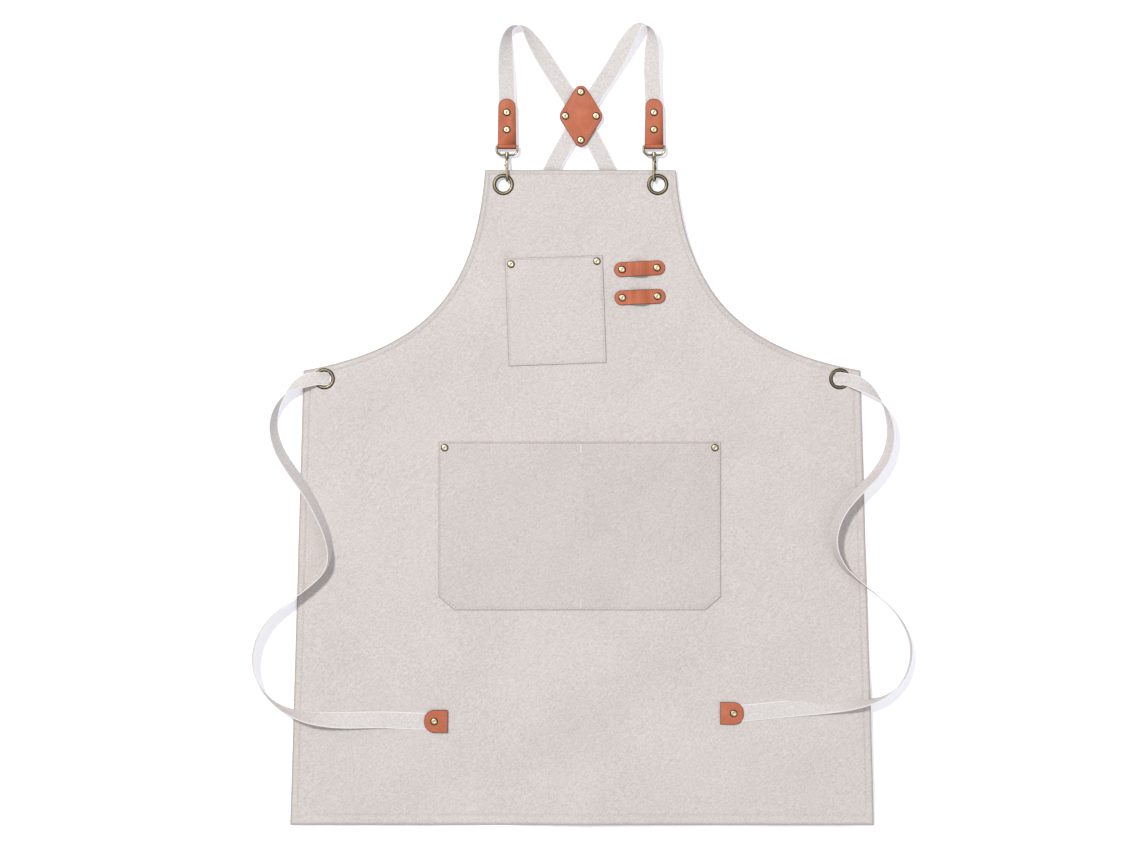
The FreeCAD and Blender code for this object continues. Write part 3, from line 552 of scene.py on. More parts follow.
# ---------------------------------------------------------------- the lie of the cloth
@dataclass
class ClothLie:
    """How the canvas lies: its height at each place, pinned down at the hardware."""

    hem: float
    length: float
    face: float = 2.7 * MM
    lift: float = 3.8 * MM
    lift_start: float = 0.695
    lift_end: float = 0.745
    roll: float = 6.0 * MM
    cross_share: float = 0.55
    trough: float = -0.25
    slant: float = math.radians(38)
    crumple: float = 1.1 * MM
    pins: list[tuple[float, float, float]] = field(default_factory=list)

    def ripple(self, x: float, y: float) -> float:
        """Soft diagonal waves and small crumples, before pinning."""
        along = x * math.cos(self.slant) + y * math.sin(self.slant)
        aside = y * math.cos(self.slant) - x * math.sin(self.slant)
        wave = noise.noise(Vector((along / 0.30, aside / 0.085, 3.7)))
        cross = noise.noise(Vector((aside / 0.26 + 9.1, along / 0.10, 8.2)))
        small = noise.noise(Vector((x / 0.032, y / 0.040, 1.3)))
        swell = max(self.trough, wave) * self.roll + max(self.trough, cross) * self.roll * self.cross_share
        return swell + small * self.crumple - self.trough * self.roll

    def height(self, x: float, y: float) -> float:
        """Height of the canvas face at a place in the row's frame."""
        free = 1.0
        for px, py, reach in self.pins:
            free *= float(smoothstep(math.hypot(x - px, y - py), reach * 0.55, reach * 2.2))
        rise = y - self.hem
        lift = float(smoothstep(rise, self.lift_start, self.lift_end)) * self.lift
        return self.face + lift + self.ripple(x, y) * free


@dataclass
class SewnSheet:
    """Canvas cut to a shape, its edge folded under and stitched down.

    The shape is a grid between a left and a right line, with rings from it out to the fold.
    """

    name: str
    sides: Callable[[float, float], tuple[np.ndarray, np.ndarray]]
    height: Callable[[float, float], float]
    seam: Callable[[np.ndarray], np.ndarray]
    columns: int
    rim: float
    border: float = 16 * MM
    fold: float = 12 * MM
    facing: float = 12 * MM
    thickness: float = 0.8 * MM
    groove: float = 0.8 * MM
    pucker: float = 0.35 * MM
    shade: float = 0.0
    curl: Callable[[float, float], float] = no_rise
    wobble_pitch: float = 0.011
    seam_rings: tuple[float, ...] = (1.35, 1.12, 1.0, 0.88, 0.62, 0.34)
    fold_steps: int = 6

    def loop(self, inset: float, top_inset: float) -> np.ndarray:
        """Closed line round the sheet at an inset from its edge."""
        left, right = self.sides(inset, top_inset)
        share = np.linspace(0, 1, self.columns + 1)[:, None]
        low = left[0] * (1 - share) + right[0] * share
        high = left[-1] * (1 - share) + right[-1] * share
        return np.vstack([low, right[1:], high[::-1][1:], left[::-1][1:-1]])

    def seam_line(self) -> np.ndarray:
        """Closed line that the stitches follow."""
        edge, inner = self.loop(0, 0), self.loop(self.border, self.border)
        return edge + (inner - edge) * (self.seam(edge) / self.border)[:, None]

    def build(self, shop: Workshop) -> bpy.types.Object:
        """Make the sheet as one closed piece."""
        left, right = self.sides(self.border, self.border)
        rows = len(left)
        share = np.linspace(0, 1, self.columns + 1)
        grid = left[:, None] * (1 - share)[None, :, None] + right[:, None] * share[None, :, None]
        points = [(x, y, self.height(x, y)) for x, y in grid.reshape(-1, 2)]
        width = self.columns + 1
        faces = [
            (i * width + j, i * width + j + 1, (i + 1) * width + j + 1, (i + 1) * width + j)
            for i in range(rows - 1) for j in range(self.columns)
        ]
        ring = list(range(width)) + [i * width + self.columns for i in range(1, rows)]
        ring += [(rows - 1) * width + j for j in range(self.columns - 1, -1, -1)]
        ring += [i * width for i in range(rows - 2, 0, -1)]
        edge, inner = self.loop(0, 0), self.loop(self.border, self.border)
        under = self.loop(self.fold, self.facing)
        inward = (inner - edge) / self.border
        seam = self.seam(edge)
        travel = np.cumsum(np.hypot(*(np.roll(edge, -1, 0) - edge).T))
        wobble = np.array([noise.noise(Vector((t / self.wobble_pitch, 0.5, 0.2))) for t in travel])
        radius = self.rim / 2
        for part in self.seam_rings:
            spots = edge + inward * np.maximum(seam * part, radius * 1.05)[:, None]
            dip = -self.groove * math.exp(-(((part - 1) / 0.1) ** 2))
            swell = self.pucker * (1.0 if part < 0.9 else 0.0) * (wobble + 0.4)
            ring = self._grow(points, faces, ring, spots, dip + swell, part)
        for step in range(self.fold_steps):
            angle = math.pi * step / (self.fold_steps - 1)
            spots = edge + inward * (radius * (1 - math.sin(angle)))
            drop = -radius * (1 - math.cos(angle))
            ripple = self.pucker * wobble * 0.5 * (1 + math.cos(angle))
            ring = self._grow(points, faces, ring, spots, drop + ripple, 0.0)
        ring = self._grow(points, faces, ring, under, np.full(len(edge), -self.rim), 1.0)
        piece = shop.mesh(self.name, points, faces)
        # Painted shade along the folded rim: 1 on the rim rings, the sheet's own shade everywhere else.
        folded = np.full(len(points), self.shade)
        folded[-(self.fold_steps + 1) * len(edge):] = 1.0
        shop.number(piece, "fold", folded)
        shop.modify(piece, "SOLIDIFY", thickness=self.thickness, offset=-1.0, use_rim=True)
        shop.smooth(piece, 60)
        return piece

    def _grow(self, points: list, faces: list, ring: list[int], spots: np.ndarray, shift: np.ndarray,
              part: float) -> list[int]:
        """Add one ring of points outside the last one, and the faces between them."""
        start = len(points)
        ease = max(0.0, 1.0 - part)
        for (x, y), dz in zip(spots, np.broadcast_to(shift, len(spots))):
            points.append((x, y, self.height(x, y) + dz + ease * self.curl(x, y)))
        new = list(range(start, start + len(spots)))
        count = len(new)
        for k in range(count):
            following = (k + 1) % count
            faces.append((ring[k], new[k], new[following], ring[following]))
        return new


@dataclass
class Stitching:
    """Rows of real stitches, each a short plump thread that dips in at its ends."""

    pitch: float = 4.3 * MM
    length: float = 3.5 * MM
    thick: float = 0.85 * MM
    tack_pitch: float = 0.62 * MM
    tack_lean: float = 0.12
    tack_rise: float = 0.35 * MM

    def pattern(self, shop: Workshop) -> bpy.types.Object:
        """One stitch along X."""
        shop.deselect()
        bpy.ops.mesh.primitive_uv_sphere_add(segments=6, ring_count=5, radius=0.5)
        piece = bpy.context.object
        bpy.ops.object.mode_set(mode="EDIT")
        bpy.ops.mesh.select_all(action="SELECT")
        bpy.ops.transform.resize(value=(self.thick, self.thick * 0.8, self.length))
        bpy.ops.object.mode_set(mode="OBJECT")
        for vertex in piece.data.vertices:
            x, y, z = vertex.co
            vertex.co = (z, x, y)
        return piece

    def along(self, line: np.ndarray, height: Callable[[float, float], float], closed: bool = False) -> list:
        """Places of the stitches along a line of (x, y) points."""
        if closed:
            line = np.vstack([line, line[:1]])
        steps = np.hypot(*np.diff(line, axis=0).T)
        travel = np.concatenate([[0], np.cumsum(steps)])
        count = max(1, int(travel[-1] / self.pitch))
        moves = []
        for k in range(count):
            at = (k + 0.5) * travel[-1] / count
            ends = [
                np.array([np.interp(at + d, travel, line[:, 0]), np.interp(at + d, travel, line[:, 1])])
                for d in (-self.length / 2, self.length / 2)
            ]
            (x0, y0), (x1, y1) = ends
            z0, z1 = height(x0, y0), height(x1, y1)
            spot = ((x0 + x1) / 2, (y0 + y1) / 2, (z0 + z1) / 2)
            moves.append(frame_matrix(spot, (x1 - x0, y1 - y0, z1 - z0), (0, 0, 1)))
        return moves

    def bar_tack(self, x: float, y: float, size: tuple[float, float], height: Callable) -> list:
        """Close crosswise stitches that lock the end of a seam."""
        count = int(size[1] / self.tack_pitch)
        moves = []
        for k in range(count):
            spot = y + size[1] * ((k + 0.5) / count - 0.5)
            lean = self.tack_lean if k % 2 else -self.tack_lean
            moves.append(frame_matrix((x, spot, height(x, spot) + self.tack_rise), (1, lean, 0), (0, 0, 1)))
        return moves


# ---------------------------------------------------------------- canvas pieces
@dataclass
class ApronPanel:
    """The canvas panel, with its hem, armholes and raised bib."""

    lie: ClothLie
    waist_half: float = 0.334
    waist_rise: float = 0.545
    bib_half: float = 0.1145
    bib_centre: float = -1.8 * MM
    armhole_drop: float = 0.145
    armhole_reach: float = 0.148
    armhole_slope: float = 0.18
    facing: float = 34 * MM
    hem_rows: int = 120
    armhole_rows: int = 58
    eyelet_hole: float = 9.1 * MM
    stitch_sink: float = 0.12 * MM
    hem_inset: float = 11.5 * MM
    side_inset: float = 8.5 * MM
    armhole_inset: float = 6.5 * MM
    top_inset: float = 5.2 * MM

    def sides(self, inset: float, top_inset: float) -> tuple[np.ndarray, np.ndarray]:
        """Left and right edges at an inset, from the hem to the bib's top."""
        half_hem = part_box("apron_panel")[1][0] - inset
        waist, bib = self.waist_half - inset, self.bib_half - inset
        top, side_top = self.lie.length - top_inset, self.waist_rise - inset
        share = np.linspace(0, 1, self.hem_rows)[:, None]
        t = np.linspace(0, 1, self.armhole_rows + 1)[1:, None]
        lines = []
        for sign in (-1, 1):
            corner, shoulder = np.array([sign * half_hem, inset]), np.array([sign * waist, side_top])
            low = corner * (1 - share) + shoulder * share
            pull = (sign * (waist - self.armhole_reach + inset * 0.6),
                    side_top + self.armhole_reach * self.armhole_slope)
            bib_x = self.bib_centre + sign * bib
            upper = (self.bib_centre + sign * (bib + self.armhole_drop * 0.07),
                     top - self.armhole_drop + top_inset - inset * 0.2)
            poles = np.array([(sign * waist, side_top), pull, upper, (bib_x, top)])
            curve = (1 - t) ** 3 * poles[0] + 3 * (1 - t) ** 2 * t * poles[1]
            curve = curve + 3 * (1 - t) * t ** 2 * poles[2] + t ** 3 * poles[3]
            line = np.vstack([low, curve])
            line[:, 1] += self.lie.hem
            lines.append(line)
        return lines[0], lines[1]

    def seam(self, edge: np.ndarray) -> np.ndarray:
        """How far in from the edge the hem is stitched: wide at the bottom, narrow on the armholes."""
        rise = edge[:, 1] - self.lie.hem
        inset = np.where(rise < 1e-4, self.hem_inset, self.side_inset)
        inset = np.where(rise > self.waist_rise + 1e-4, self.armhole_inset, inset)
        inset = np.where(rise > self.lie.length - 1e-4, self.top_inset, inset)
        kernel = np.ones(5) / 5
        padded = np.concatenate([inset[-2:], inset, inset[:2]])
        return np.convolve(padded, kernel, "valid")

    def curl(self, x: float, y: float) -> float:
        """The right armhole's edge curls up a little, and the left one less."""
        rise = y - self.lie.hem
        band = float(smoothstep(rise, 0.552, 0.58) * (1 - smoothstep(rise, 0.64, 0.70)))
        return band * (3.0 * MM if x > 0 else 1.0 * MM)

    def sunk(self, x: float, y: float) -> float:
        """Height of the stitches, which sink a little into the canvas."""
        return self.lie.height(x, y) - self.stitch_sink

    def sheet(self) -> SewnSheet:
        """The panel as a sheet."""
        return SewnSheet("apron_canvas", self.sides, self.lie.height, self.seam, columns=150, rim=2.65 * MM,
                         facing=self.facing, curl=self.curl)

    def build(self, shop: Workshop) -> bpy.types.Object:
        """Make the panel, cut its eyelet holes and stitch its hem."""
        sheet = self.sheet()
        piece = sheet.build(shop)
        for side in Side:
            for place in ("bib", "waist"):
                low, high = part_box(f"{side.value}_{place}_eyelet")
                shop.deselect()
                centre = [(a + b) / 2 for a, b in zip(low, high)]
                bpy.ops.mesh.primitive_cylinder_add(vertices=40, radius=self.eyelet_hole, depth=0.06,
                                                    location=centre)
                cutter = bpy.context.object
                shop.modify(piece, "BOOLEAN", operation="DIFFERENCE", object=cutter, solver="EXACT")
                bpy.data.objects.remove(cutter)
        shop.smooth(piece, 60)
        shop.settle(piece, "canvas", "canvas", ["apron_panel"])
        fabric = self.cut_area(sheet)
        thread = Stitching()
        moves = thread.along(sheet.seam_line(), self.sunk, closed=True)
        stitches = shop.copies("hem_stitches", thread.pattern(shop), moves)
        shop.smooth(stitches, 80)
        shop.settle(stitches, "thread", "canvas", [], body=shop.body_of["apron_panel"])
        return piece

    def cut_area(self, sheet: SewnSheet) -> float:
        """Area inside the panel's edge."""
        x, y = sheet.loop(0, 0).T
        return 0.5 * abs(float(np.dot(x, np.roll(y, -1)) - np.dot(y, np.roll(x, -1))))


@dataclass
class PatchPocket:
    """A patch pocket with a hemmed top, stitched down at its sides and bottom."""

    node: str
    lie: ClothLie
    centre: tuple[float, float]
    size: tuple[float, float]
    tilt: float
    chamfer: tuple[float, float]
    hem_lines: tuple[float, float]
    rows: int
    columns: int
    divided: bool
    shade: float = 0.0
    raised: float = 1.4 * MM
    edge_seam: float = 2.2 * MM
    stitch_rise: float = 0.1 * MM
    divider_x: float = 1.2 * MM
    divider_rise: float = 0.12 * MM
    divider_end: float = 2 * MM
    tack_end: float = 8 * MM
    tack_size: tuple[float, float] = (3.4 * MM, 11 * MM)

    def turned(self, points: np.ndarray) -> np.ndarray:
        """Points about the pocket's centre, turned and moved to their place."""
        angle = math.radians(self.tilt)
        turn = np.array([[math.cos(angle), math.sin(angle)], [-math.sin(angle), math.cos(angle)]])
        return points @ turn + np.array([self.centre[0], self.centre[1] + self.lie.hem])

    def sides(self, inset: float, top_inset: float) -> tuple[np.ndarray, np.ndarray]:
        """Left and right edges at an inset, with the lower corners cut off."""
        half_w, half_h = self.size[0] / 2 - inset, self.size[1] / 2 - inset
        cut_x, cut_y = self.chamfer
        bend = 4 if cut_x else 0
        top = self.size[1] / 2 - top_inset
        low = [
            (half_w - cut_x * (1 - k / bend), -half_h + cut_y * k / bend)
            for k in range(bend)
        ]
        rise = np.linspace(-half_h + cut_y, top, self.rows)
        line = np.array(low + [(half_w, y) for y in rise])
        return self.turned(line * np.array([-1, 1])), self.turned(line)

    def height(self, x: float, y: float) -> float:
        """Height of the pocket's face."""
        return self.lie.height(x, y) + self.raised

    def stitched(self, x: float, y: float) -> float:
        """Height of the stitches round the pocket."""
        return self.height(x, y) + self.stitch_rise

    def divided_at(self, x: float, y: float) -> float:
        """Height of the stitches between the pocket's two halves."""
        return self.height(x, y) + self.divider_rise

    def seam(self, edge: np.ndarray) -> np.ndarray:
        """How far in from the edge the pocket is stitched down: the same all round."""
        return np.full(len(edge), self.edge_seam)

    def build(self, shop: Workshop) -> bpy.types.Object:
        """Make the pocket and its stitches."""
        sheet = SewnSheet(f"{self.node}_canvas", self.sides, self.height, self.seam, columns=self.columns,
                          rim=1.35 * MM, border=7 * MM, fold=6 * MM, facing=6 * MM, thickness=0.5 * MM,
                          groove=0.6 * MM, pucker=0.3 * MM, shade=self.shade)
        piece = sheet.build(shop)
        shop.settle(piece, "canvas", "canvas", [self.node])
        thread = Stitching()
        half_w, half_h = self.size[0] / 2, self.size[1] / 2
        cut_x, cut_y = self.chamfer
        outer = [(-half_w, half_h), (-half_w, cut_y - half_h), (cut_x - half_w, -half_h)]
        outer += [(-x, y) for x, y in reversed(outer)]
        inset = self.edge_seam
        drop = np.array([(x - math.copysign(inset, x), y + (inset if y < 0 else 0)) for x, y in outer])
        lines = [self.turned(self.fine(drop))]
        for depth in self.hem_lines:
            ends = np.array([(-half_w + 1 * MM, half_h - depth), (half_w - 1 * MM, half_h - depth)])
            lines.append(self.turned(self.fine(ends)))
        moves = [move for line in lines for move in thread.along(line, self.stitched)]
        if self.divided:
            reach = half_h - self.divider_end
            ends = np.array([(self.divider_x, reach), (self.divider_x, -reach)])
            moves += thread.along(self.turned(self.fine(ends)), self.divided_at)
            for end in (half_h - self.tack_end, self.tack_end - half_h):
                x, y = self.turned(np.array([[self.divider_x, end]]))[0]
                moves += thread.bar_tack(x, y, self.tack_size, self.height)
        stitches = shop.copies(f"{self.node}_stitches", thread.pattern(shop), moves)
        shop.smooth(stitches, 80)
        shop.settle(stitches, "thread", "canvas", [], body=shop.body_of[self.node])
        return piece

    @staticmethod
    def fine(corners: np.ndarray) -> np.ndarray:
        """A line through the corners, with points close together."""
        spots = [corners[:1]]
        for a, b in zip(corners, corners[1:]):
            share = np.linspace(0, 1, 40)[1:, None]
            spots.append(a * (1 - share) + b * share)
        return np.vstack(spots)


# ---------------------------------------------------------------- webbing
@dataclass
class Webbing:
    """Flat woven band along a smooth line, turning with its roll."""

    name: str
    stations: list[Station]
    lift: float = 0.0
    thickness: float = 1.2 * MM
    cup: dict[int, float] = field(default_factory=dict)
    ribs: int = 11
    selvage_swell: float = 1.16
    selvage_end: float = 0.55

    def spline(self, points: Sequence[Sequence[float]], resolution: int = 14) -> np.ndarray:
        """Points along the smooth line that control points give."""
        data = bpy.data.curves.new("line", "CURVE")
        data.dimensions = "3D"
        run = data.splines.new("NURBS")
        run.points.add(len(points) - 1)
        for point, place in zip(run.points, points):
            point.co = (*place, 1.0)
        run.order_u = 3
        run.use_endpoint_u = True
        run.resolution_u = resolution
        carrier = bpy.data.objects.new("line", data)
        bpy.context.collection.objects.link(carrier)
        bpy.context.view_layer.update()
        mesh = bpy.data.meshes.new_from_object(carrier)
        line = np.array([vertex.co[:] for vertex in mesh.vertices])
        bpy.data.objects.remove(carrier)
        bpy.data.meshes.remove(mesh)
        return line

    def path(self) -> np.ndarray:
        """The band's centre line."""
        return self.spline([station[:3] for station in self.stations])

    def build(self, shop: Workshop) -> bpy.types.Object:
        """Make the band with rounded selvages and its own map."""
        line = self.path()
        turns = self.spline([
            (math.radians(roll), width, self.cup.get(i, 0.0))
            for i, (_, _, _, roll, width) in enumerate(self.stations)
        ])
        spread = np.linspace(-1, 1, self.ribs)
        half = self.thickness / 2
        section = []
        for u in spread:
            swell = self.selvage_swell if abs(u) > 0.75 else 1.0
            taper = self.selvage_end if abs(u) == 1 else 1.0
            section.append((u, half * swell * taper))
        section += [(u, -t) for u, t in reversed(section)]
        points, maps = [], []
        travel = 0.0
        for k, (centre, (roll, width, cup)) in enumerate(zip(line, turns)):
            ahead = Vector(line[min(k + 1, len(line) - 1)] - line[max(k - 1, 0)]).normalized()
            level = Vector((0, 0, 1)).cross(ahead).normalized()
            across = level * math.cos(roll) + ahead.cross(level) * math.sin(roll)
            through = ahead.cross(across)
            if k:
                travel += float(np.linalg.norm(centre - line[k - 1]))
            for u, t in section:
                spot = Vector(centre) + across * (u * width / 2) + through * (t + cup * (u * u - 0.4))
                points.append(spot)
                maps.append((u * width / 2, travel))
        size = len(section)
        faces = [
            (k * size + i, (k + 1) * size + i, (k + 1) * size + (i + 1) % size, k * size + (i + 1) % size)
            for k in range(len(line) - 1) for i in range(size)
        ]
        faces += [tuple(range(size)), tuple(range(len(points) - 1, len(points) - size - 1, -1))]
        piece = shop.mesh(self.name, points, faces)
        layer = piece.data.uv_layers.new(name="band")
        layer.data.foreach_set("uv", [c for corner in piece.data.loops for c in maps[corner.vertex_index]])
        # Position across the band, which places the painted highlight on its edges.
        shop.number(piece, "selvage_highlight", np.array([abs(u) for _ in line for u, _ in section]))
        shop.pick(piece)
        bpy.ops.object.mode_set(mode="EDIT")
        bpy.ops.mesh.select_all(action="SELECT")
        bpy.ops.mesh.normals_make_consistent(inside=False)
        bpy.ops.object.mode_set(mode="OBJECT")
        shop.smooth(piece, 50)
        return piece


@dataclass
class Strap:
    """One continuous strap: from its tab over the shoulder, through the patch and down behind the bib."""

    side: Side
    stations: list[Station]
    fold_start: float = 0.798
    fold_end: float = 0.815
    fold_height: float = 3 * MM

    def build(self, shop: Workshop, hem: float) -> bpy.types.Object:
        """Make the strap, and let it bend where the straps fold up."""
        nodes = [f"{self.side.value}_shoulder_webbing", f"{self.side.other.value}_back_webbing"]
        moved = [in_frame(station, hem) for station in self.stations]
        piece = Webbing(f"{self.side.value}_strap", moved).build(shop)
        piece.data.materials.append(shop.finishes["webbing"])
        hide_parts(*nodes)
        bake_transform(piece, shop.body_of[nodes[1]], shop.body_of[nodes[0]],
                 start=(0, self.fold_start + hem, self.fold_height),
                 end=(0, self.fold_end + hem, self.fold_height))
        shop.made += 1
        LOG.info("%s: %d faces", piece.name, len(piece.data.polygons))
        return piece


@dataclass
class Tie:
    """A long waist tie that leaves its eyelet and lies loose, with a leather tip."""

    side: Side
    stations: list[Station]
    length: float
    gather: float = 3.2 * MM

    def build(self, shop: Workshop, hem: float) -> bpy.types.Object:
        name = f"{self.side.value}_tie"
        moved = [in_frame(station, hem) for station in self.stations]
        band = Webbing(f"{name}_band", moved, cup={0: self.gather, 1: self.gather, 2: self.gather * 0.6})
        piece = band.build(shop)
        shop.settle(piece, "webbing", "webbing", [name])
        tip = Leather(f"{name}_tip").build(shop)
        rivet = Rivets(f"{name}_tip_rivet").build(shop)
        eyelet = f"{self.side.value}_waist_eyelet"
        leaving = (*middle_of(eyelet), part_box(eyelet)[1][2])
        [tuple(map(float, p)) for p in band.path()]
        return piece


def in_frame(station: Station, hem: float) -> Station:
    """A station in millimetres and heights from the hem, in metres in the frame."""
    x, rise, z, roll, width = station
    return x * MM, rise * MM + hem, z * MM, roll, width * MM


# ---------------------------------------------------------------- leather
@dataclass
class Leather:
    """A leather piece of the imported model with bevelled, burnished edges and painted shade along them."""

    node: str
    bevel: float = 0.42 * MM
    edge_band_width: float = 0.55 * MM
    arch: float = 0.0
    face_above: float = 0.55
    band_shade: float = 0.62

    def build(self, shop: Workshop) -> bpy.types.Object:
        """Round the piece's edges and mark them for burnishing and painted shade, but not the slopes of its
        arch.
        """
        piece = shop.copy_of(self.node, f"{self.node}_leather")
        shop.modify(piece, "BEVEL", width=self.bevel, segments=3, limit_method="ANGLE",
                    angle_limit=math.radians(50), harden_normals=False)
        shop.smooth(piece, 35)
        middle, _ = middle_of(self.node)
        shop.pick(piece)
        for polygon in piece.data.polygons:
            polygon.select = self.facing(polygon, middle) > self.face_above
        bpy.ops.object.mode_set(mode="EDIT")
        bpy.ops.mesh.select_mode(type="FACE")
        bpy.ops.mesh.inset(thickness=self.edge_band_width, use_boundary=False, use_even_offset=False)
        bpy.ops.object.mode_set(mode="OBJECT")
        # Painted shade: the band inside the top face's edge and the steep cut edges are darkened, over real
        # burnishing.
        edge_darkening = np.zeros(len(piece.data.loops))
        for polygon in piece.data.polygons:
            corners = slice(polygon.loop_start, polygon.loop_start + polygon.loop_total)
            edge_band = 0.0 if polygon.select else self.band_shade
            edge_darkening[corners] = max(edge_band, 1 - smoothstep(self.facing(polygon, middle), 0.72, 0.96))
        shop.number(piece, "burnish_and_edge_shade", edge_darkening, "CORNER")
        shop.settle(piece, "leather", "leather", [self.node])
        return piece

    def facing(self, polygon: bpy.types.MeshPolygon, middle: float) -> float:
        """1 for a face of the hide and 0 for its cut edge; the slopes of an arch count as its face."""
        if abs(polygon.center.x - middle) < self.arch:
            return math.sqrt(1 - polygon.normal.y ** 2)
        return abs(polygon.normal.z)


# ---------------------------------------------------------------- metal
@dataclass
class Rivets:
    """Domed rivet caps with a dimple, one at each cap of a node."""

    node: str
    steps: int = 28
    tip_cap: float = 1.4 * MM
    foot: float = -0.25 * MM

    def build(self, shop: Workshop) -> bpy.types.Object:
        """Turn one cap and copy it to every place."""
        caps = shop.islands(self.node)
        low, high = caps[0]
        if self.node.endswith("_tip_rivet"):
            low = Vector((low.x, low.y, high.z - self.tip_cap))
        radius, tall = (high.x - low.x) / 2, high.z - low.z
        profile = [(1e-5, self.foot), (radius * 0.9, self.foot), (radius, 0.2 * tall),
                   (radius * 0.99, 0.42 * tall), (radius * 0.90, 0.70 * tall),
                   (radius * 0.72, 0.90 * tall), (radius * 0.46, tall),
                   (radius * 0.30, 0.99 * tall), (radius * 0.21, 0.80 * tall), (radius * 0.12, 0.62 * tall),
                   (1e-5, 0.58 * tall)]
        pattern = shop.lathe("rivet", profile, self.steps)
        # Painted shade darkens the dome towards its edge; the dimple is dark with patina.
        reach = np.array([math.hypot(v.co.x, v.co.y) / radius for v in pattern.data.vertices])
        dark = np.maximum(smoothstep(reach, 0.62, 0.80), 0.55 * (1 - smoothstep(reach, 0.10, 0.26)))
        shop.number(pattern, "patina_and_shade", dark)
        moves = []
        for low, high in caps:
            move = np.eye(4)
            move[:3, 3] = ((low.x + high.x) / 2, (low.y + high.y) / 2, high.z - tall)
            moves.append(move)
        piece = shop.copies(f"{self.node}_brass", pattern, moves)
        shop.smooth(piece, 50)
        shop.settle(piece, "brass", "brass", [self.node])
        return piece


@dataclass
class Eyelet:
    """Rolled brass eyelet."""

    node: str
    bore: float = 8.5 * MM
    flange: float = 0.9 * MM
    aged: float = 0.60
    steps: int = 56

    def build(self, shop: Workshop) -> bpy.types.Object:
        """Turn the eyelet's flange and barrel."""
        low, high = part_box(self.node)
        radius = (high[0] - low[0]) / 2
        crown, flange = high[2], high[2] - self.flange
        profile = []
        for k in range(9):
            angle = math.pi * k / 8
            middle, half = (radius + self.bore) / 2, (radius - self.bore) / 2
            rise = (crown - flange) * math.sin(angle) ** 0.7
            profile.append((middle + half * math.cos(angle), flange + rise))
        profile += [(self.bore, low[2]), (self.bore + 0.5 * MM, low[2]),
                    (self.bore + 0.6 * MM, flange - 0.1 * MM),
                    (radius - 0.2 * MM, flange - 0.1 * MM), profile[0]]
        piece = shop.lathe(f"{self.node}_brass", profile, self.steps)
        # Painted shade on the rolled outer rim and down the barrel's inner wall, over an aged base.
        reach = np.array([math.hypot(v.co.x, v.co.y) for v in piece.data.vertices])
        outer = smoothstep(reach, radius - 1.8 * MM, radius - 0.7 * MM)
        inner = smoothstep(reach, self.bore + 0.5 * MM, self.bore + 1.7 * MM)
        dark = self.aged + (1 - self.aged) * np.maximum(outer, 1 - inner)
        shop.number(piece, "patina_and_shade", dark)
        x, y = middle_of(self.node)
        for vertex in piece.data.vertices:
            vertex.co.x += x
            vertex.co.y += y
        shop.smooth(piece, 50)
        shop.settle(piece, "brass", "brass", [self.node])
        return piece


@dataclass
class CastPiece:
    """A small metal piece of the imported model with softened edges."""

    node: str
    finish: str = "brass"
    bevel: float = 0.18 * MM
    fullness: float = 0.0
    aged: float = 0.56
    underside_shade: float = 0.42

    def build(self, shop: Workshop) -> bpy.types.Object:
        """Join, soften and shade the piece."""
        piece = shop.copy_of(self.node, f"{self.node}_metal")
        if self.bevel:
            shop.modify(piece, "BEVEL", width=self.bevel, segments=2, limit_method="ANGLE",
                        angle_limit=math.radians(55), harden_normals=False)
        if self.fullness:
            shop.modify(piece, "DISPLACE", strength=self.fullness, mid_level=0.0)
        shop.smooth(piece, 50)
        # Painted shade: darker towards the bottom of the piece, over its aged patina.
        low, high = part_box(self.node)
        depth = np.array([(v.co.z - low[2]) / max(high[2] - low[2], 1e-6) for v in piece.data.vertices])
        shop.number(piece, "patina_and_shade", self.aged + self.underside_shade * (1 - smoothstep(depth, 0.2, 0.85)))
        shop.settle(piece, self.finish, self.finish, [self.node])
        return piece


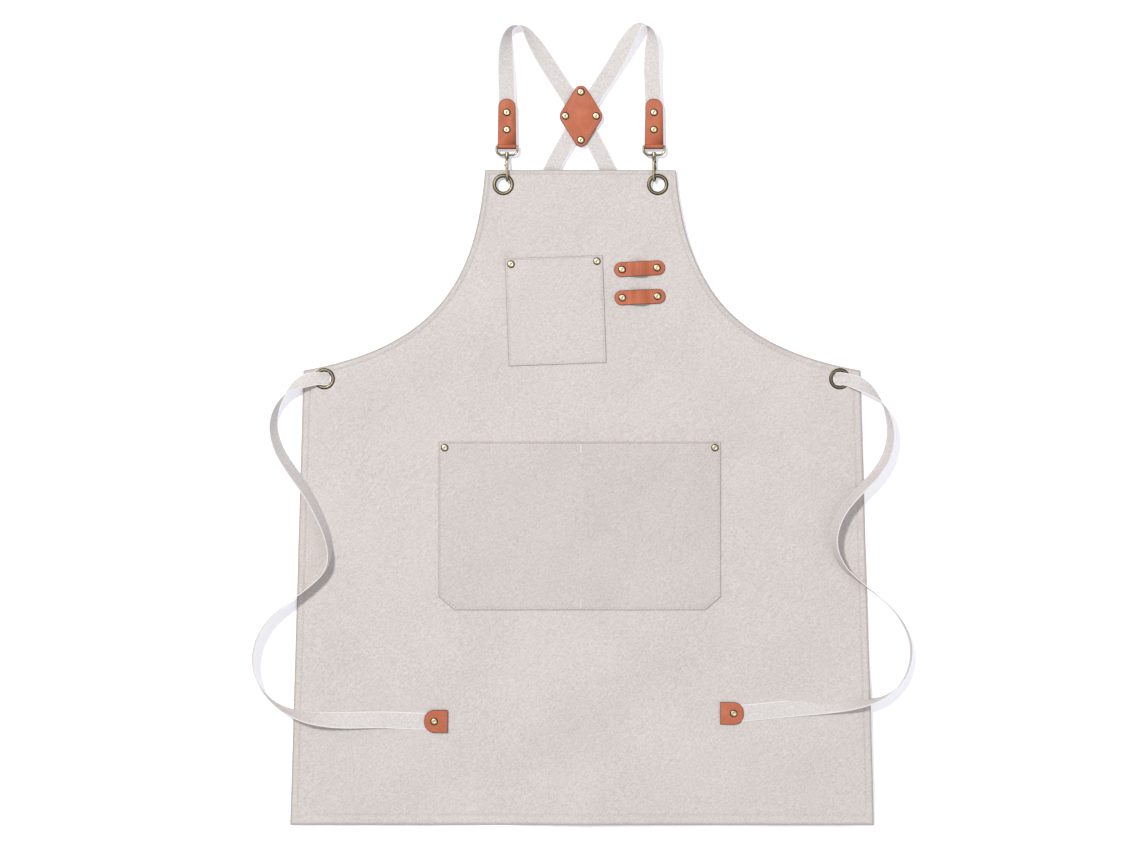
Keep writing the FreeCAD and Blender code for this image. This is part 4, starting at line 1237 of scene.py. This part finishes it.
# ---------------------------------------------------------------- routes of the webbing, in mm
TIE_ROUTES: dict[Side, list[Station]] = {
    Side.LEFT: [
        (-302.5, 535.0, 0.65, 0, 15), (-309.5, 535.2, 2.6, 0, 15.5), (-318.0, 535.0, 5.1, 4, 15),
        (-332.0, 532.8, 8.3, 28, 18.5), (-351.0, 522.6, 10.4, 78, 20), (-365.0, 503.6, 10.5, 100, 20),
        (-370.8, 479.0, 10.2, 113, 20), (-364.5, 452.0, 10.2, 119, 20), (-349.0, 427.0, 11.8, 123, 20),
        (-325.0, 394.0, 12.8, 118, 20), (-307.0, 357.0, 12.8, 113, 20), (-300.5, 331.0, 13.2, 103, 20),
        (-304.0, 307.5, 13.4, 90, 20), (-322.0, 288.5, 13.4, 90, 20), (-352.0, 267.0, 13.4, 90, 20),
        (-379.0, 244.0, 10.6, 82, 20), (-394.5, 211.5, 10.4, 78, 20), (-392.5, 176.0, 10.4, 80, 20),
        (-372.5, 147.5, 10.6, 90, 20), (-338.0, 130.5, 13.4, 118, 20), (-294.0, 125.5, 8.2, 158, 20),
        (-244.0, 127.0, 6.3, 176, 20), (-190.0, 124.5, 6.1, 180, 20), (-165.0, 124.7, 6.1, 180, 20),
    ],
    Side.RIGHT: [
        (302.5, 535.0, 0.65, 0, 15), (309.5, 535.2, 2.6, 0, 15.5), (318.0, 534.0, 5.1, -4, 15),
        (333.0, 529.0, 8.0, -22, 18.5), (350.5, 517.0, 9.8, -66, 20), (364.0, 500.0, 10.5, -97, 20),
        (370.3, 474.0, 10.3, -111, 20), (367.0, 446.0, 10.2, -116, 20), (351.0, 419.5, 12.0, -118, 20),
        (327.0, 396.5, 12.9, -114, 20), (307.0, 370.5, 12.9, -111, 20), (299.0, 339.0, 12.9, -109, 20),
        (309.5, 311.0, 13.2, -104, 20), (333.0, 291.5, 13.4, -92, 20), (361.0, 270.5, 13.2, -88, 20),
        (384.5, 243.5, 10.6, -80, 20), (395.5, 213.0, 10.4, -75, 20), (389.5, 181.0, 10.4, -76, 20),
        (369.0, 156.0, 10.6, -84, 20), (336.5, 146.5, 13.8, -112, 20), (292.0, 143.5, 8.2, -158, 20),
        (242.0, 139.5, 6.3, -176, 20), (194.0, 134.0, 6.1, -180, 20), (169.5, 134.3, 6.1, -180, 20),
    ],
}
STRAP_ROUTES: dict[Side, list[Station]] = {
    Side.LEFT: [
        (-89.9, 820.0, 7.0, 0, 20), (-89.9, 873.0, 7.0, 0, 20), (-91.2, 905.0, 7.6, 14, 20),
        (-91.6, 934.0, 9.2, 36, 20), (-87.0, 956.0, 10.6, 82, 20), (-71.0, 958.5, 10.6, 106, 20),
        (-58.0, 938.5, 9.0, 146, 20), (-41.0, 911.5, 5.2, 176, 20), (-19.0, 878.0, 3.56, 180, 20),
        (-1.3, 849.6, 3.53, 180, 20), (16.8, 814.5, 3.53, 180, 20), (30.5, 787.5, 2.4, 180, 20),
        (46.0, 752.0, 0.65, 180, 20), (61.0, 702.0, 0.65, 180, 20), (68.0, 652.0, 0.65, 180, 20),
        (82.0, 606.0, 0.65, 180, 20), (122.0, 568.0, 0.65, 180, 20), (176.0, 545.0, 0.65, 180, 20),
        (240.0, 531.0, 0.65, 180, 20), (301.5, 532.0, 0.65, 180, 12),
    ],
    Side.RIGHT: [
        (86.2, 820.0, 7.0, 0, 20), (85.2, 873.0, 7.0, 0, 20), (83.2, 905.0, 7.4, -8, 20),
        (84.2, 933.0, 8.8, -30, 20), (82.4, 955.5, 10.6, -82, 20), (68.0, 960.5, 10.6, -118, 20),
        (54.0, 939.5, 9.0, -152, 20), (40.5, 913.0, 5.4, -178, 20), (17.5, 878.0, 4.76, -180, 20),
        (-1.3, 849.6, 4.76, -180, 20), (-20.8, 814.5, 4.76, -180, 20), (-36.0, 787.5, 2.4, -180, 20),
        (-50.0, 752.0, 0.65, -180, 20), (-59.0, 702.0, 0.65, -180, 20), (-72.0, 650.0, 0.65, -180, 20),
        (-98.0, 604.0, 0.65, -180, 20), (-136.0, 569.0, 0.65, -180, 20), (-184.0, 546.0, 0.65, -180, 20),
        (-240.0, 531.0, 0.65, -180, 20), (-301.5, 532.0, 0.65, -180, 12),
    ],
}
TIE_LENGTHS = {Side.LEFT: 0.702, Side.RIGHT: 0.684}
FULLNESS = {"bail": 0.22 * MM, "hook": 0.12 * MM}
WIRE_BEVEL = 0.12 * MM


# ---------------------------------------------------------------- studio
@dataclass
class Studio:
    """Pale floor, a soft key light from the upper left, and a camera straight above."""

    lens: float = 85.0
    aim: tuple[float, float] = (-0.0144, -0.0044)
    distance: float = 3.23
    floor_colour: Colour = (0.84, 0.84, 0.86)
    floor_glow: Colour = (0.93, 0.93, 1.0)
    glow: float = 0.36
    floor_size: float = 12.0
    floor_drop: float = 0.4 * MM
    sky: Colour = (0.93, 0.95, 1.0)
    sky_strength: float = 0.46
    sensor: float = 36.0

    def build(self, shop: Workshop) -> None:
        """Set up the floor, the lights and the camera."""
        shop.deselect()
        bpy.ops.mesh.primitive_plane_add(size=self.floor_size, location=(0, 0, -self.floor_drop))
        floor = bpy.context.object
        floor.name = "floor"
        paper = NodeMaker("floor").finish(
            Base_Color=self.floor_colour, Roughness=0.95, Specular_IOR_Level=0.1,
            Emission_Color=self.floor_glow, Emission_Strength=self.glow)
        floor.data.materials.append(paper)
        world = bpy.data.worlds.new("studio")
        world.use_nodes = True
        backdrop = world.node_tree.nodes["Background"]
        backdrop.inputs["Color"].default_value = (*self.sky, 1.0)
        backdrop.inputs["Strength"].default_value = self.sky_strength
        bpy.context.scene.world = world
        self.lamp("key", (-1.9, 1.75, 4.7), 0.55, 190.0, (1.0, 0.985, 0.965))
        self.lamp("fill", (2.6, -1.6, 3.0), 2.6, 42.0, (0.97, 0.98, 1.0))
        data = bpy.data.cameras.new("camera")
        data.lens = self.lens
        data.sensor_width = self.sensor
        camera = bpy.data.objects.new("camera", data)
        camera.location = (self.aim[0], self.aim[1], self.distance)
        bpy.context.collection.objects.link(camera)
        bpy.context.scene.camera = camera
        bpy.context.scene.view_settings.view_transform = "Standard"

    def lamp(self, name: str, place: tuple[float, float, float], size: float, power: float,
             colour: Colour) -> None:
        """Add one soft square lamp that looks at the middle of the floor."""
        data = bpy.data.lights.new(name, "AREA")
        data.size = size
        data.energy = power
        data.color = colour
        lamp = bpy.data.objects.new(name, data)
        lamp.location = place
        lamp.rotation_euler = (-Vector(place)).to_track_quat("-Z", "Y").to_euler()
        bpy.context.collection.objects.link(lamp)


def pinned_places(shop: Workshop) -> list[tuple[float, float, float]]:
    """Places where hardware holds the canvas down, with how far each one reaches."""
    places = []
    for node, reach in (("pocket_rivet_caps", 9 * MM), ("tool_loop_rivet_caps", 16 * MM)):
        places += [((low.x + high.x) / 2, (low.y + high.y) / 2, reach) for low, high in shop.islands(node)]
    eyelets = [f"{side.value}_{kind}_eyelet" for side in Side for kind in ("bib", "waist")]
    places += [(*middle_of(node), 20 * MM) for node in eyelets]
    places += [(*middle_of(node), 24 * MM) for node in ("upper_tool_loop", "lower_tool_loop")]
    return places


def main() -> None:
    """Build the apron from the canvas up, then its straps, ties and hardware, and the studio."""
    logging.basicConfig(level=logging.INFO, format="%(message)s")
    shop = Workshop(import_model())
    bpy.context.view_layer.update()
    low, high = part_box("apron_panel")
    lie = ClothLie(hem=low[1], length=high[1] - low[1], pins=pinned_places(shop))
    ApronPanel(lie).build(shop)
    PatchPocket("chest_pocket", lie, centre=(-31.5 * MM, 616.6 * MM), size=(117 * MM, 129 * MM), tilt=2.0,
                chamfer=(0.0, 0.0), hem_lines=(3.5 * MM, 8.5 * MM), rows=46, columns=44,
                divided=False).build(shop)
    PatchPocket("hand_pocket", lie, centre=(-2.6 * MM, 358.6 * MM), size=(338 * MM, 201.5 * MM), tilt=0.0,
                chamfer=(18.5 * MM, 15.6 * MM), hem_lines=(3.5 * MM, 13.5 * MM), rows=58, columns=110,
                divided=True, shade=0.2).build(shop)
    for side in Side:
        Strap(side, STRAP_ROUTES[side]).build(shop, lie.hem)
        Tie(side, TIE_ROUTES[side], TIE_LENGTHS[side]).build(shop, lie.hem)
        Leather(f"{side.value}_shoulder_tab").build(shop)
        for kind in ("bib", "waist"):
            Eyelet(f"{side.value}_{kind}_eyelet").build(shop)
            CastPiece(f"{side.value}_{kind}_eyelet_washer", bevel=0.0).build(shop)
        for piece in ("bail", "hook", "hook_gate", "hook_gate_pin"):
            fullness = FULLNESS.get(piece, 0.0)
            bevel = 0.0 if fullness else WIRE_BEVEL
            CastPiece(f"{side.value}_{piece}", bevel=bevel, fullness=fullness).build(shop)
        CastPiece(f"{side.value}_hook_gate_spring", finish="spring_steel", bevel=0.0).build(shop)
    for node in ("upper_tool_loop", "lower_tool_loop"):
        Leather(node, arch=20 * MM).build(shop)
    for node in ("cross_patch_back", "cross_patch_front"):
        Leather(node).build(shop)
    for group in ("pocket", "tool_loop", "shoulder_tab", "cross_patch"):
        Rivets(f"{group}_rivet_caps").build(shop)
        CastPiece(f"{group}_rivet_posts", bevel=0.0).build(shop)
    Studio().build(shop)
    LOG.info("%d pieces", shop.made)


if __name__ == "__main__":
    main()
